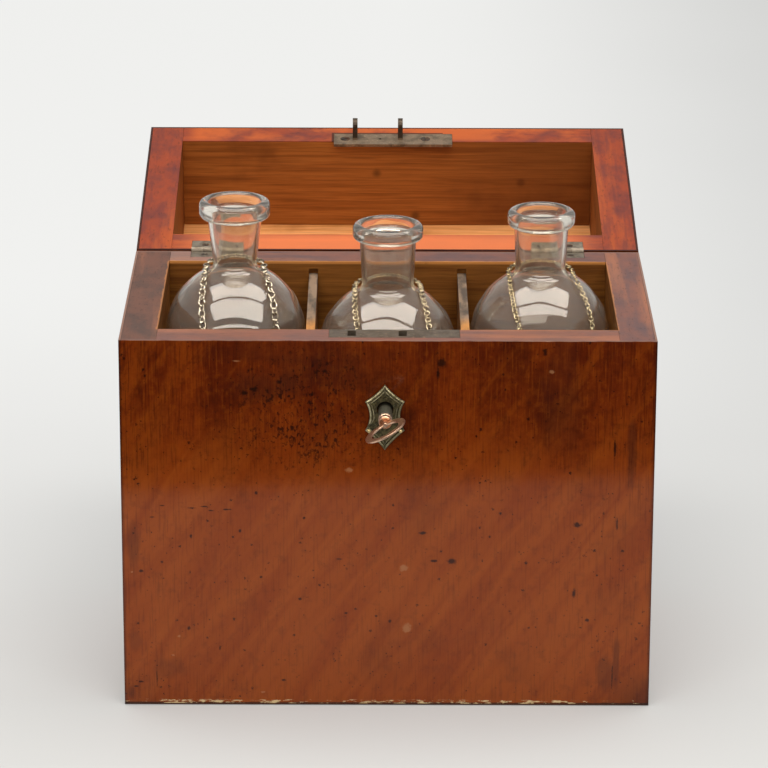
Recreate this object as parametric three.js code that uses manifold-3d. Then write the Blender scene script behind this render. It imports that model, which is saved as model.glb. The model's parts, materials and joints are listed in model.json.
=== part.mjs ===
// A travelling bottle case: a veneered pine box with a hinged lid, a key lock in its front rim,
// and three round glass bottles in their own compartments, each with a chain and a plate on it.
// Millimetres, +Z up. The origin is the centre of the case's underside; the front faces -Y.
// The lid lies open behind the case, as it rests on its hinges.

import * as THREE from 'three';
import { mergeVertices } from 'three/addons/utils/BufferGeometryUtils.js';
import Module from 'manifold-3d';

const wasm = await Module();
wasm.setup();

// Case body
const caseWidth = 300;
const caseDepth = 174;
const bodyHeight = 219;
const pineThickness = 19.4;
const veneerThickness = 1.2;
const glueLine = 0.15;
const bottomThickness = 12;

// Dividers and the stopped grooves that hold them
const dividerThickness = 5;
const dividerBelowRim = 8;
const grooveDepth = 3;
const grooveBelowRim = 4.5;
const grooveClearance = 0.25;

// Lid
const lidHeadroom = 2.2;
const lidTopThickness = 11;
const rimGap = 0.4;
const openAngle = THREE.MathUtils.degToRad(170);

// Butt hinges
const hingeLength = 36;
const hingeFromSide = 33;
const leafWidth = 13;
const leafThickness = 1.4;
const knuckleRadius = 2.4;
const knuckleGap = 0.3;
const knuckleCount = 5;
const hingePinRadius = 1.1;
const hingePinClearance = 0.12;
const axisBehindCase = 1.2;
const hingeScrewFromEnd = 8;
const hingeScrewFromAxis = 7.6;

// Wood screws
const screwHeadRadius = 2.05;
const screwShankRadius = 1.15;
const screwLength = 10;
const screwSlotWidth = 0.6;
const screwSlotDepth = 0.6;
const lockScrewHeadRadius = 1.9;
const screwClearance = 0.15;

// Lock: the plate with its selvage, the cap over the works, the bolt, the spring and the drill pin
const lockFromLeftDivider = 8.5;
const lockFromRightDivider = 1.3;
const lockFlange = 5.5;
const selvageDepth = 14.5;
const selvageThickness = 2.2;
const backPlateThickness = 2;
const backPlateBelowCap = 4;
const capWall = 1.2;
const bitRoom = 1.3;
const lockScrewBelowRim = 12;
const lockScrewAboveFoot = 6;
const fitClearance = 0.2;
const worksClearance = 0.3;
const boltThickness = 3.6;
const boltTravel = 7;
const boltBarHeight = 7;
const boltArmWidth = 4;
const boltTipSpare = 0.8;
const railHeight = 1.4;
const springThickness = 0.8;
const springWidth = 4;
const springRise = 3.6;
const drillPinRadius = 1.5;
const drillPinLength = 14;

// Keyhole, escutcheon and key
const keyLeftOfLockCentre = 5;
const keyBelowRim = 40;
const keyAngle = THREE.MathUtils.degToRad(28);
const keyTurn = THREE.MathUtils.degToRad(95);
const keyBarrelRadius = 3.9;
const keyBoreRadius = 2.1;
const keyBoreDepth = 18;
const keyBitReach = 9.5;
const keyBitThickness = 2.4;
const keyBitWidth = 4.6;
const keyBitNotch = 1.2;
const keyCollarStart = 18.6;
const keyCollarLength = 6.15;
const keyCollarRadius = 4.1;
const keyBowRadius = 12.25;
const keyBowBand = 3.2;
const keyBowThickness = 2.3;
const keyNeckRadius = 1.84;
const keyholeClearance = 0.8;
const bitSideClearance = 0.5;
const talonClearance = 0.7;
const escutcheonLeftOfKey = 0.2;
const escutcheonAboveKey = 14.7;
const escutcheonHeight = 38.8;
const escutcheonCornerHalf = 11.1;
const escutcheonWaistHalf = 8.6;
const escutcheonThickness = 1.5;
const escutcheonBevel = 0.5;
const escutcheonPinRadius = 0.7;
const escutcheonPinHead = 1.1;
const escutcheonPinDome = 0.7;
const escutcheonPinLength = 7;
const escutcheonPinInset = 2.3;

// Link plate in the lid's rim, with the two links that the bolt passes through
const linkPlateOverhang = 0.8;
const linkPlateThickness = 1.8;
const linkPlateDepth = 15.6;
const linkPlateStandIn = 4.2;
const leftLinkFromEnd = 12.6;
const rightLinkFromEnd = 31.9;
const linkHeight = 12.6;
const linkThickness = 3;
const linkWidth = 8.2;
const linkEyeWidth = 5.2;
const linkEyeHeight = 7;
const linkTipBar = 1.8;
const linkSideClearance = 0.8;
const linkSlotClearance = 0.6;
const linkScrewHeadRadius = 3.1;
const linkScrewFromLinkLine = 3;
const leftScrewFromLink = 6.3;
const rightScrewFromLink = 15.8;
const spareHoleFromLink = 12.8;
const spareHoleRadius = 0.9;

// Bottles. A shoulder's place is that of the centre of its round part.
const bottleClearance = 0.92;
const bottleLift = 0.15;
const glassWall = 3;
const neckWall = 2.6;
const glassBase = 7;
const puntHeight = 4;
const puntInset = 7;
const heelRadius = 4;
const neckFillet = 1.6;
const leftLipHeight = 10.7;
const middleLipHeight = 9.3;
const rightLipHeight = 9.8;
const lipRound = 1.8;
const lipWall = 5.4;
const wideLipRadius = 20.4;
const narrowLipRadius = 19.4;
const neckTopRadius = 15.5;
const wideNeckTopRadius = 16.2;
const leftNeckFootRadius = 12.5;
const middleNeckFootRadius = 15;
const rightNeckFootRadius = 14.5;
const leftLipAboveRim = 56.8;
const middleLipAboveRim = 42.9;
const rightLipAboveRim = 51.3;
const leftShoulderBelowRim = 22.4;
const middleShoulderBelowRim = 33.3;
const rightShoulderBelowRim = 24.2;

// Chains and the plates that they carry. Each plate hangs a little to the right of the front.
const chainGap = 0.4;
const chainRise = 2.2;
const chainSlack = 1.5;
const chainBow = 2.3;
const leftChainRadius = 1.4;
const middleChainRadius = 1.3;
const rightChainRadius = 1.2;
const leftPlateTurn = 5.4;
const middlePlateTurn = 6.9;
const rightPlateTurn = 13.6;
const leftPlateWidth = 46.8;
const middlePlateWidth = 41.2;
const rightPlateWidth = 47.1;
const plateHeight = 28;
const plateThickness = 1;
const plateBelowShoulder = 2;
const plateHoleInset = 2.6;

// How finely the round shapes are cut
const cutOverrun = 1;
const screwSides = 10;
const knuckleSides = 14;
const barrelSides = 16;
const bottleSides = 28;
const shoulderSteps = 7;
const filletSteps = 2;
const chainSides = 8;
const chainSteps = 36;
const strandPoints = 9;
const loopPoints = 8;
const bowSides = 8;
const bowSteps = 24;
const springSteps = 6;
const outlineSteps = 6;
const plateSteps = 12;
const pinDomeSteps = 3;

// Places that follow from the sizes above
const halfWidth = caseWidth / 2;
const halfDepth = caseDepth / 2;
const boardOuterX = halfWidth - veneerThickness - glueLine;
const boardOuterY = halfDepth - veneerThickness - glueLine;
const insideX = boardOuterX - pineThickness;
const insideY = boardOuterY - pineThickness;
const compartmentWidth = (2 * insideX - 2 * dividerThickness) / 3;
const dividerX = (compartmentWidth + dividerThickness) / 2;
const compartmentX = compartmentWidth + dividerThickness;
const bottleRadius = compartmentWidth / 2 - bottleClearance;
const rim = bodyHeight;
const hingeY = halfDepth + axisBehindCase;
const hingeZ = rim + rimGap / 2;
const hingeOuterX = halfWidth - hingeFromSide;
const hingeXs = { left: -hingeOuterX, right: hingeOuterX - hingeLength };
const plateBackY = -insideY - backPlateThickness;
const linkY = plateBackY - fitClearance - linkSlotClearance - linkWidth / 2;
const capInnerY = linkY - linkWidth / 2 - linkSlotClearance;
const faceY = -halfDepth;
const lockLeft = -compartmentWidth / 2 + lockFromLeftDivider;
const lockRight = compartmentWidth / 2 - lockFromRightDivider;
const linkXs = [lockLeft + leftLinkFromEnd, lockRight - rightLinkFromEnd];
const keyX = (lockLeft + lockRight) / 2 - keyLeftOfLockCentre;
const keyZ = rim - keyBelowRim;
const keyholeRadius = keyBarrelRadius + keyholeClearance;
const escutcheonX = keyX - escutcheonLeftOfKey;
const escutcheonTopZ = keyZ + escutcheonAboveKey;

const materials = {
  veneer: new THREE.MeshStandardMaterial({ color: 0x7a3514, roughness: 0.35, metalness: 0 }),
  pine: new THREE.MeshStandardMaterial({ color: 0x8a5220, roughness: 0.7, metalness: 0 }),
  brass: new THREE.MeshStandardMaterial({ color: 0x6f6045, roughness: 0.45, metalness: 0.9 }),
  steel: new THREE.MeshStandardMaterial({ color: 0x4a443c, roughness: 0.5, metalness: 0.9 }),
  key: new THREE.MeshStandardMaterial({ color: 0xb08a70, roughness: 0.25, metalness: 1 }),
  glass: new THREE.MeshStandardMaterial({ color: 0xe6ebe8, roughness: 0.03, metalness: 0 }),
  silver: new THREE.MeshStandardMaterial({ color: 0xd8cfb4, roughness: 0.25, metalness: 1 }),
};

const object = new THREE.Group();
const lid = new THREE.Group();
lid.position.set(0, hingeY, hingeZ);
lid.rotation.x = -openAngle;
object.add(lid);

function piece(parent, name, geometry, material) {
  const mesh = new THREE.Mesh(geometry, materials[material]);
  mesh.name = name;
  parent.add(mesh);
}

// Closed mesh to solid, and back
function solid(geometry) {
  const bare = geometry.clone();
  bare.deleteAttribute('normal');
  bare.deleteAttribute('uv');
  const merged = mergeVertices(bare);
  return new wasm.Manifold(new wasm.Mesh({
    numProp: 3,
    vertProperties: new Float32Array(merged.attributes.position.array),
    triVerts: new Uint32Array(merged.index.array),
  }));
}

function geometryOf(body) {
  const mesh = body.getMesh();
  const geometry = new THREE.BufferGeometry();
  geometry.setAttribute('position', new THREE.BufferAttribute(mesh.vertProperties, 3));
  geometry.setIndex(new THREE.BufferAttribute(mesh.triVerts, 1));
  return geometry;
}

function cut(geometry, ...tools) {
  let body = solid(geometry);
  for (const tool of tools) {
    body = body.subtract(solid(tool));
  }
  return geometryOf(body);
}

function join(geometry, ...others) {
  let body = solid(geometry);
  for (const other of others) {
    body = body.add(solid(other));
  }
  return geometryOf(body);
}

function block([x0, x1], [y0, y1], [z0, z1]) {
  const box = new THREE.BoxGeometry(x1 - x0, y1 - y0, z1 - z0);
  return box.translate((x0 + x1) / 2, (y0 + y1) / 2, (z0 + z1) / 2);
}

function around(centre, width) {
  return [centre - width / 2, centre + width / 2];
}

// A round bar along x, y or z, from one end to the other
function bar(axis, radius, from, to, sides) {
  const rod = new THREE.CylinderGeometry(radius, radius, to - from, sides);
  const middle = (from + to) / 2;
  if (axis === 'x') {
    return rod.rotateZ(-Math.PI / 2).translate(middle, 0, 0);
  }
  if (axis === 'z') {
    return rod.rotateX(Math.PI / 2).translate(0, 0, middle);
  }
  return rod.translate(0, middle, 0);
}

// A wood screw that points down, its slotted head flush with z = 0
function screw(headRadius, length) {
  const coneDepth = headRadius - screwShankRadius;
  const tipLength = screwShankRadius * 2;
  const profile = [
    new THREE.Vector2(0, -length),
    new THREE.Vector2(screwShankRadius, tipLength - length),
    new THREE.Vector2(screwShankRadius, -coneDepth),
    new THREE.Vector2(headRadius, 0),
    new THREE.Vector2(0, 0),
  ];
  const turned = new THREE.LatheGeometry(profile, screwSides).rotateX(Math.PI / 2);
  const slotLength = 2 * (headRadius + cutOverrun);
  const slot = block(around(0, slotLength), around(0, screwSlotWidth), [-screwSlotDepth, cutOverrun]);
  return cut(turned, slot);
}

// The countersunk hole that a screw needs, with its clearance all round
function screwHole(headRadius, length) {
  const wide = headRadius + screwClearance;
  const narrow = screwShankRadius + screwClearance;
  const profile = [
    new THREE.Vector2(0, -length - screwClearance),
    new THREE.Vector2(narrow, -length - screwClearance),
    new THREE.Vector2(narrow, narrow - wide),
    new THREE.Vector2(wide, 0),
    new THREE.Vector2(wide, cutOverrun),
    new THREE.Vector2(0, cutOverrun),
  ];
  return new THREE.LatheGeometry(profile, screwSides).rotateX(Math.PI / 2);
}

// The keyhole: a round hole for the barrel with a slot below it for the bit
function keyholeCutter(fromY, toY) {
  const reach = keyBitReach + fitClearance + keyBitNotch;
  const round = bar('y', keyholeRadius, fromY, toY, barrelSides).translate(keyX, 0, keyZ);
  const slotWidth = keyBitThickness + 2 * bitSideClearance;
  const slot = block(around(keyX, slotWidth), [fromY, toY], [keyZ - reach, keyZ]);
  return join(round, slot);
}

// Where each hinge's screws go along the hinge
const hingeScrews = Object.entries(hingeXs).flatMap(([side, x]) => {
  const places = [x + hingeScrewFromEnd, x + hingeLength - hingeScrewFromEnd];
  if (side === 'right') {
    places.reverse();
  }
  return [
    { side, end: 'outer', x: places[0] },
    { side, end: 'inner', x: places[1] },
  ];
});
const hingeScrewY = hingeY - hingeScrewFromAxis;

// The holes for a leaf's screws. up is 1 for the lid, whose rim looks down when it is shut,
// and -1 for the body, here and below.
function hingeScrewHoles(rimZ, up) {
  return hingeScrews.map((place) => {
    const hole = screwHole(screwHeadRadius, screwLength);
    if (up > 0) {
      hole.rotateX(Math.PI);
    }
    return hole.translate(place.x, hingeScrewY, rimZ);
  });
}

// A layer of a rim, from its surface into the wood
function rimLayer(rimZ, up, depth) {
  return up > 0 ? [rimZ, rimZ + depth] : [rimZ - depth, rimZ];
}

// The recesses for the hinge leaves and the channels for their knuckles
function hingeRecesses(rimZ, up) {
  const cutters = hingeScrewHoles(rimZ, up);
  for (const x of Object.values(hingeXs)) {
    const span = [x - fitClearance, x + hingeLength + fitClearance];
    const [low, high] = rimLayer(rimZ, up, leafThickness + fitClearance);
    const layer = up > 0 ? [low - cutOverrun, high] : [low, high + cutOverrun];
    cutters.push(block(span, [hingeY - leafWidth - fitClearance, hingeY], layer));
    const channel = bar('x', knuckleRadius + knuckleGap, ...span, knuckleSides);
    cutters.push(channel.translate(0, hingeY, hingeZ));
  }
  return cutters;
}

// A hinge leaf: the plate in the rim with its share of the knuckles, bored for the pin
function hingeLeaf(x, rimZ, up) {
  const plate = block(
    [x, x + hingeLength],
    [hingeY - leafWidth, hingeY],
    rimLayer(rimZ, up, leafThickness),
  );
  const onAxis = (radius, from, to, sides) => {
    const round = bar('x', radius, from, to, sides);
    return round.translate(0, hingeY, hingeZ);
  };
  const knuckleLength = (hingeLength - knuckleGap * (knuckleCount - 1)) / knuckleCount;
  const knuckles = [];
  const rooms = [];
  for (let i = 0; i < knuckleCount; i += 1) {
    const start = x + i * (knuckleLength + knuckleGap);
    const end = start + knuckleLength;
    const own = (i % 2 === 0) === (up < 0);
    if (own) {
      knuckles.push(onAxis(knuckleRadius, start, end, knuckleSides));
    } else {
      rooms.push(onAxis(knuckleRadius + knuckleGap, start - knuckleGap, end + knuckleGap, knuckleSides));
    }
  }
  const boreRadius = hingePinRadius + hingePinClearance;
  const bore = onAxis(boreRadius, x - cutOverrun, x + hingeLength + cutOverrun, screwSides);
  return cut(join(plate, ...knuckles), ...rooms, bore, ...hingeScrewHoles(rimZ, up));
}

// The body's boards. The sides run the full depth and the front and back fit between them.
const sideSpanY = [-boardOuterY, boardOuterY];
const betweenX = [-insideX + glueLine, insideX - glueLine];
const bodyZ = [0, rim];
const frontBoardY = [-boardOuterY, -insideY];
const backBoardY = [insideY, boardOuterY];
const grooves = [-dividerX, dividerX].map((x) => block(
  around(x, dividerThickness + 2 * grooveClearance),
  [-insideY - grooveDepth, insideY + grooveDepth],
  [bottomThickness - cutOverrun, rim - grooveBelowRim],
));

// Where the lock's pieces lie in the front board
const capLeft = lockLeft + lockFlange;
const capRight = lockRight - lockFlange;
const capFootZ = keyZ - keyBitReach - bitRoom - capWall;
const capTopZ = rim - selvageThickness;
const plateFootZ = capFootZ - backPlateBelowCap;
const leftScrewX = lockLeft + lockFlange / 2;
const rightScrewX = lockRight - lockFlange / 2;
const lockScrewPlaces = [
  { name: 'upper_left', x: leftScrewX, z: rim - lockScrewBelowRim },
  { name: 'upper_right', x: rightScrewX, z: rim - lockScrewBelowRim },
  { name: 'lower_left', x: leftScrewX, z: plateFootZ + lockScrewAboveFoot },
  { name: 'lower_right', x: rightScrewX, z: plateFootZ + lockScrewAboveFoot },
];

function lockScrewCutter(place) {
  const hole = screwHole(lockScrewHeadRadius, screwLength);
  return hole.rotateX(-Math.PI / 2).translate(place.x, -insideY, place.z);
}

const lockMortise = [
  block(
    [lockLeft - fitClearance, lockRight + fitClearance],
    [plateBackY - fitClearance, -insideY + cutOverrun],
    [plateFootZ - fitClearance, rim + cutOverrun],
  ),
  block(
    [lockLeft - fitClearance, lockRight + fitClearance],
    [-insideY - selvageDepth - fitClearance, -insideY],
    [rim - selvageThickness - fitClearance, rim + cutOverrun],
  ),
  block(
    [capLeft - fitClearance, capRight + fitClearance],
    [capInnerY - capWall - fitClearance, -insideY],
    [capFootZ - fitClearance, rim],
  ),
];

// The escutcheon's pins sit near its lower corners
const upperCornerShare = 0.26;
const lowerCornerShare = 0.7;
const escutcheonPins = [-1, 1].map((side) => ({
  name: side < 0 ? 'left' : 'right',
  x: escutcheonX + side * (escutcheonCornerHalf - escutcheonPinInset),
  z: escutcheonTopZ - lowerCornerShare * escutcheonHeight,
}));
const pinHoles = escutcheonPins.map((pin) => bar(
  'y', escutcheonPinRadius + screwClearance, faceY - escutcheonThickness - cutOverrun,
  faceY + escutcheonPinLength, screwSides,
).translate(pin.x, 0, pin.z));

piece(object, 'front_board', cut(
  block(betweenX, frontBoardY, bodyZ),
  ...grooves,
  ...lockMortise,
  ...lockScrewPlaces.map(lockScrewCutter),
  keyholeCutter(-boardOuterY - cutOverrun, -insideY),
  ...pinHoles,
), 'pine');
piece(object, 'back_board', cut(
  block(betweenX, backBoardY, bodyZ),
  ...grooves,
  ...hingeRecesses(rim, -1),
), 'pine');
piece(object, 'left_board', block([-boardOuterX, -insideX], sideSpanY, bodyZ), 'pine');
piece(object, 'right_board', block([insideX, boardOuterX], sideSpanY, bodyZ), 'pine');
piece(object, 'bottom_board', block(
  betweenX,
  [-insideY + glueLine, insideY - glueLine],
  [0, bottomThickness],
), 'pine');

// The body's veneers: the front and back cover the edges of the sides
piece(object, 'front_veneer', cut(
  block([-halfWidth, halfWidth], [-halfDepth, -halfDepth + veneerThickness], bodyZ),
  keyholeCutter(faceY - cutOverrun, -boardOuterY),
  ...pinHoles,
), 'veneer');
piece(object, 'back_veneer', cut(
  block([-halfWidth, halfWidth], [halfDepth - veneerThickness, halfDepth], bodyZ),
  ...hingeRecesses(rim, -1),
), 'veneer');
piece(object, 'left_veneer', block([-halfWidth, -halfWidth + veneerThickness], sideSpanY, bodyZ), 'veneer');
piece(object, 'right_veneer', block([halfWidth - veneerThickness, halfWidth], sideSpanY, bodyZ), 'veneer');

// Dividers
for (const [side, x] of [['left', -dividerX], ['right', dividerX]]) {
  piece(object, `divider_${side}`, block(
    around(x, dividerThickness),
    [-insideY - grooveDepth + grooveClearance, insideY + grooveDepth - grooveClearance],
    [bottomThickness + glueLine, rim - dividerBelowRim],
  ), 'pine');
}

// Lock plate: the selvage in the rim and the plate inside the wall, bent from one brass sheet
const linkSlots = linkXs.map((x) => block(
  around(x, linkThickness + 2 * linkSideClearance),
  around(linkY, linkWidth + 2 * linkSlotClearance),
  [rim - selvageThickness - cutOverrun, rim + cutOverrun],
));
const drillPinHole = bar(
  'y', drillPinRadius + screwClearance, plateBackY - cutOverrun, -insideY + cutOverrun, screwSides,
).translate(keyX, 0, keyZ);
const lockPlate = join(
  block([lockLeft, lockRight], [plateBackY, -insideY], [plateFootZ, rim]),
  block([lockLeft, lockRight], [-insideY - selvageDepth, -insideY], [rim - selvageThickness, rim]),
);
piece(object, 'lock_plate', cut(
  lockPlate,
  ...linkSlots,
  ...lockScrewPlaces.map(lockScrewCutter),
  drillPinHole,
), 'brass');
for (const place of lockScrewPlaces) {
  const turned = screw(lockScrewHeadRadius, screwLength).rotateX(-Math.PI / 2);
  piece(object, `lock_screw_${place.name}`, turned.translate(place.x, -insideY, place.z), 'steel');
}

// Lock cap: a tray over the works, open towards the back plate and the selvage, with a rail for the bolt
const boltFrontY = capInnerY + worksClearance;
const armY = around(linkY, boltThickness);
const eyeZ = rim - linkHeight + rimGap + linkTipBar + linkEyeHeight / 2;
const barTopZ = rim - linkHeight - 2 * worksClearance;
const barFootZ = barTopZ - boltBarHeight;
const cap = block(
  [capLeft, capRight],
  [capInnerY - capWall, plateBackY - glueLine],
  [capFootZ, capTopZ - glueLine],
);
const capRoom = block(
  [capLeft + capWall, capRight - capWall],
  [capInnerY, plateBackY + cutOverrun],
  [capFootZ + capWall, rim],
);
const rail = block(
  [capLeft, capRight],
  [capInnerY - capWall / 2, armY[0] - worksClearance],
  [barFootZ - worksClearance - railHeight, barFootZ - worksClearance],
);
piece(object, 'lock_cap', cut(
  join(cut(cap, capRoom), rail),
  keyholeCutter(capInnerY - capWall - cutOverrun, capInnerY + cutOverrun),
), 'brass');

// Bolt: a bar with two arms whose prongs point left, and a tail with a notch for the key's bit
const prongParts = linkXs.map((x) => {
  const tip = x + linkThickness / 2 + boltTipSpare;
  const armStart = tip + boltTravel + linkThickness + boltTipSpare;
  const prong = block([tip, armStart + boltArmWidth], armY, around(eyeZ, boltThickness));
  const arm = block(
    [armStart, armStart + boltArmWidth],
    armY,
    [barTopZ - boltThickness, eyeZ + boltThickness / 2],
  );
  return { armStart, geometry: join(prong, arm) };
});
const barLeft = prongParts[0].armStart;
const barRight = capRight - capWall - worksClearance;
const notchLeft = keyX + Math.cos(keyAngle + keyTurn) * keyBitReach + boltTravel
  - keyBitThickness / 2 - talonClearance;
const notchRight = keyX + Math.cos(keyAngle) * keyBitReach + keyBitThickness / 2 + talonClearance;
const tailFootZ = keyZ + keyBarrelRadius + talonClearance;
const notchTopZ = keyZ + Math.hypot(keyBitReach, keyBitThickness / 2) + talonClearance;
const tail = block(
  [notchLeft - boltArmWidth, notchRight + boltArmWidth],
  armY,
  [tailFootZ, barTopZ - boltThickness],
);
const notch = block(
  [notchLeft, notchRight],
  [armY[0] - cutOverrun, armY[1] + cutOverrun],
  [keyZ, notchTopZ],
);
piece(object, 'lock_bolt', cut(
  join(
    block([barLeft, barRight], [boltFrontY, armY[1]], [barFootZ, barTopZ]),
    tail,
    ...prongParts.map((part) => part.geometry),
  ),
  notch,
), 'brass');

// Spring: a leaf held by the cap's right wall, bowed down onto the bolt's bar
const springFreeX = prongParts[1].armStart + boltArmWidth + 2 * worksClearance;
const springTouchZ = barTopZ + glueLine + springThickness / 2;
const springPath = new THREE.QuadraticBezierCurve3(
  new THREE.Vector3(barRight, linkY, springTouchZ + springRise),
  new THREE.Vector3((barRight + springFreeX) / 2, linkY, springTouchZ + springRise),
  new THREE.Vector3(springFreeX, linkY, springTouchZ),
);
const springSection = new THREE.Shape([
  new THREE.Vector2(-springWidth / 2, -springThickness / 2),
  new THREE.Vector2(springWidth / 2, -springThickness / 2),
  new THREE.Vector2(springWidth / 2, springThickness / 2),
  new THREE.Vector2(-springWidth / 2, springThickness / 2),
]);
piece(object, 'lock_spring', new THREE.ExtrudeGeometry(springSection, {
  steps: springSteps,
  extrudePath: springPath,
}), 'steel');
piece(object, 'lock_pin', bar(
  'y', drillPinRadius, plateBackY - drillPinLength, -insideY, screwSides,
).translate(keyX, 0, keyZ), 'steel');

// Escutcheon: a shield with concave sides and six points, pierced by the keyhole
function escutcheonShape() {
  const at = (xShare, dropShare) => new THREE.Vector2(
    escutcheonX + xShare * escutcheonCornerHalf,
    escutcheonTopZ - dropShare * escutcheonHeight,
  );
  const waistShare = escutcheonWaistHalf / escutcheonCornerHalf;
  const sideShares = [
    { bend: [0.42, 0.16], end: [1, upperCornerShare] },
    { bend: [2 * waistShare - 1, 0.48], end: [1, lowerCornerShare] },
    { bend: [0.42, 0.83], end: [0, 1] },
  ];
  const shape = new THREE.Shape();
  shape.moveTo(at(0, 0).x, at(0, 0).y);
  for (const { bend, end } of sideShares) {
    const control = at(...bend);
    const point = at(...end);
    shape.quadraticCurveTo(control.x, control.y, point.x, point.y);
  }
  const startShares = [[1, lowerCornerShare], [1, upperCornerShare], [0, 0]];
  [...sideShares].reverse().forEach(({ bend }, i) => {
    const control = at(-bend[0], bend[1]);
    const point = at(-startShares[i][0], startShares[i][1]);
    shape.quadraticCurveTo(control.x, control.y, point.x, point.y);
  });
  return shape;
}
const shield = new THREE.ExtrudeGeometry(escutcheonShape(), {
  depth: escutcheonThickness - escutcheonBevel,
  bevelEnabled: true,
  bevelThickness: escutcheonBevel / 2,
  bevelSize: escutcheonBevel / 2,
  bevelOffset: -escutcheonBevel / 2,
  bevelSegments: 1,
  curveSegments: outlineSteps,
});
shield.rotateX(Math.PI / 2).translate(0, faceY - glueLine - escutcheonBevel / 2, 0);
piece(object, 'escutcheon', cut(
  shield,
  keyholeCutter(faceY - escutcheonThickness - cutOverrun, faceY + cutOverrun),
  ...pinHoles,
), 'brass');
for (const pin of escutcheonPins) {
  piece(object, `escutcheon_pin_${pin.name}`, escutcheonPin().translate(
    pin.x,
    faceY - glueLine - escutcheonThickness - screwClearance,
    pin.z,
  ), 'brass');
}

// An escutcheon pin: a domed head that looks forwards, on a plain shank
function escutcheonPin() {
  const dome = Array.from({ length: pinDomeSteps }, (_, i) => {
    const angle = ((i + 1) / pinDomeSteps) * Math.PI / 2;
    const radius = i + 1 === pinDomeSteps ? 0 : Math.cos(angle) * escutcheonPinHead;
    return new THREE.Vector2(radius, Math.sin(angle) * escutcheonPinDome);
  });
  const profile = [
    new THREE.Vector2(0, -escutcheonPinLength),
    new THREE.Vector2(escutcheonPinRadius, -escutcheonPinLength),
    new THREE.Vector2(escutcheonPinRadius, 0),
    new THREE.Vector2(escutcheonPinHead, 0),
    ...dome,
  ];
  return new THREE.LatheGeometry(profile, screwSides).rotateX(Math.PI);
}

// Key: a pipe barrel with a bit inside the lock, a ringed collar and a round bow
const bitY = around(linkY, keyBitWidth);
const keyCollarY = halfDepth + keyCollarStart;
const keyBowY = keyCollarY + keyCollarLength + keyBowRadius;
const collarShares = [
  [0.06, 1], [0.3, 1], [0.38, 0.72], [0.48, 0.7], [0.56, 0.8], [0.8, 0.78], [0.92, 0.6],
];
const barrelProfile = [
  new THREE.Vector2(0, -bitY[1]),
  new THREE.Vector2(keyBarrelRadius, -bitY[1]),
  new THREE.Vector2(keyBarrelRadius, keyCollarY),
  ...collarShares.map(([along, out]) => new THREE.Vector2(
    out * keyCollarRadius,
    keyCollarY + along * keyCollarLength,
  )),
  new THREE.Vector2(keyNeckRadius, keyBowY - keyBowRadius + keyBowBand / 2),
  new THREE.Vector2(0, keyBowY - keyBowRadius + keyBowBand / 2),
];
const barrel = new THREE.LatheGeometry(barrelProfile, barrelSides).rotateX(Math.PI);
const keyBore = bar('y', keyBoreRadius, bitY[1] - keyBoreDepth, bitY[1] + cutOverrun, screwSides);
const bit = cut(
  block([keyBarrelRadius / 2, keyBitReach], bitY, around(0, keyBitThickness)),
  block(
    [keyBitReach - 2 * keyBitNotch, keyBitReach + cutOverrun],
    around(linkY, keyBitNotch),
    around(0, 2 * keyBitThickness),
  ),
);
const bow = new THREE.TorusGeometry(keyBowRadius - keyBowBand / 2, keyBowBand / 2, bowSides, bowSteps);
bow.scale(1, 1, keyBowThickness / keyBowBand).translate(0, -keyBowY, 0);
const key = cut(join(barrel, bow, bit), keyBore);
piece(object, 'key', key.rotateY(-keyAngle).translate(keyX, 0, keyZ), 'key');

// Hinges: leaves on the body, pins, and leaves on the lid
const lidRim = rim + rimGap;
for (const [side, x] of Object.entries(hingeXs)) {
  const pin = bar('x', hingePinRadius, x, x + hingeLength, screwSides);
  piece(object, `body_hinge_${side}`, hingeLeaf(x, rim, -1), 'brass');
  piece(object, `hinge_pin_${side}`, pin.translate(0, hingeY, hingeZ), 'steel');
  piece(lid, `lid_hinge_${side}`, onLid(hingeLeaf(x, lidRim, 1)), 'brass');
}
for (const place of hingeScrews) {
  const name = `${place.side}_${place.end}`;
  piece(object, `body_hinge_screw_${name}`, screw(screwHeadRadius, screwLength)
    .translate(place.x, hingeScrewY, rim), 'steel');
  piece(lid, `lid_hinge_screw_${name}`, onLid(screw(screwHeadRadius, screwLength)
    .rotateX(Math.PI).translate(place.x, hingeScrewY, lidRim)), 'steel');
}

// The lid's pieces are laid out as it is when shut, then moved so that the hinge axis is the lid's origin
function onLid(geometry) {
  return geometry.translate(0, -hingeY, -hingeZ);
}

// Lid boards: four walls, and a top board that lies over them. The tallest bottle stands clear of it.
const tallest = Math.max(leftLipAboveRim, middleLipAboveRim, rightLipAboveRim);
const lidWallZ = [lidRim, rim + tallest + lidHeadroom];
const lidTopZ = [lidWallZ[1] + glueLine, lidWallZ[1] + glueLine + lidTopThickness];
const lidVeneerZ = [lidTopZ[1] + glueLine, lidTopZ[1] + glueLine + veneerThickness];
const linkPlateX = [lockLeft - linkPlateOverhang, lockRight + linkPlateOverhang];
const linkPlateY = [-insideY + linkPlateStandIn - linkPlateDepth, -insideY + linkPlateStandIn];
const linkScrewY = linkY + linkScrewFromLinkLine;
const linkScrews = [
  { name: 'left', x: linkXs[0] - leftScrewFromLink },
  { name: 'right', x: linkXs[1] + rightScrewFromLink },
];
const linkScrewCutters = linkScrews.map((place) => screwHole(linkScrewHeadRadius, screwLength)
  .rotateX(Math.PI).translate(place.x, linkScrewY, lidRim));
const linkRecess = block(
  [linkPlateX[0] - fitClearance, linkPlateX[1] + fitClearance],
  [linkPlateY[0] - fitClearance, linkPlateY[1] + cutOverrun],
  [lidRim - cutOverrun, lidRim + linkPlateThickness + fitClearance],
);
piece(lid, 'lid_front_board', onLid(cut(
  block(betweenX, frontBoardY, lidWallZ),
  linkRecess,
  ...linkScrewCutters,
)), 'pine');
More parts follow.
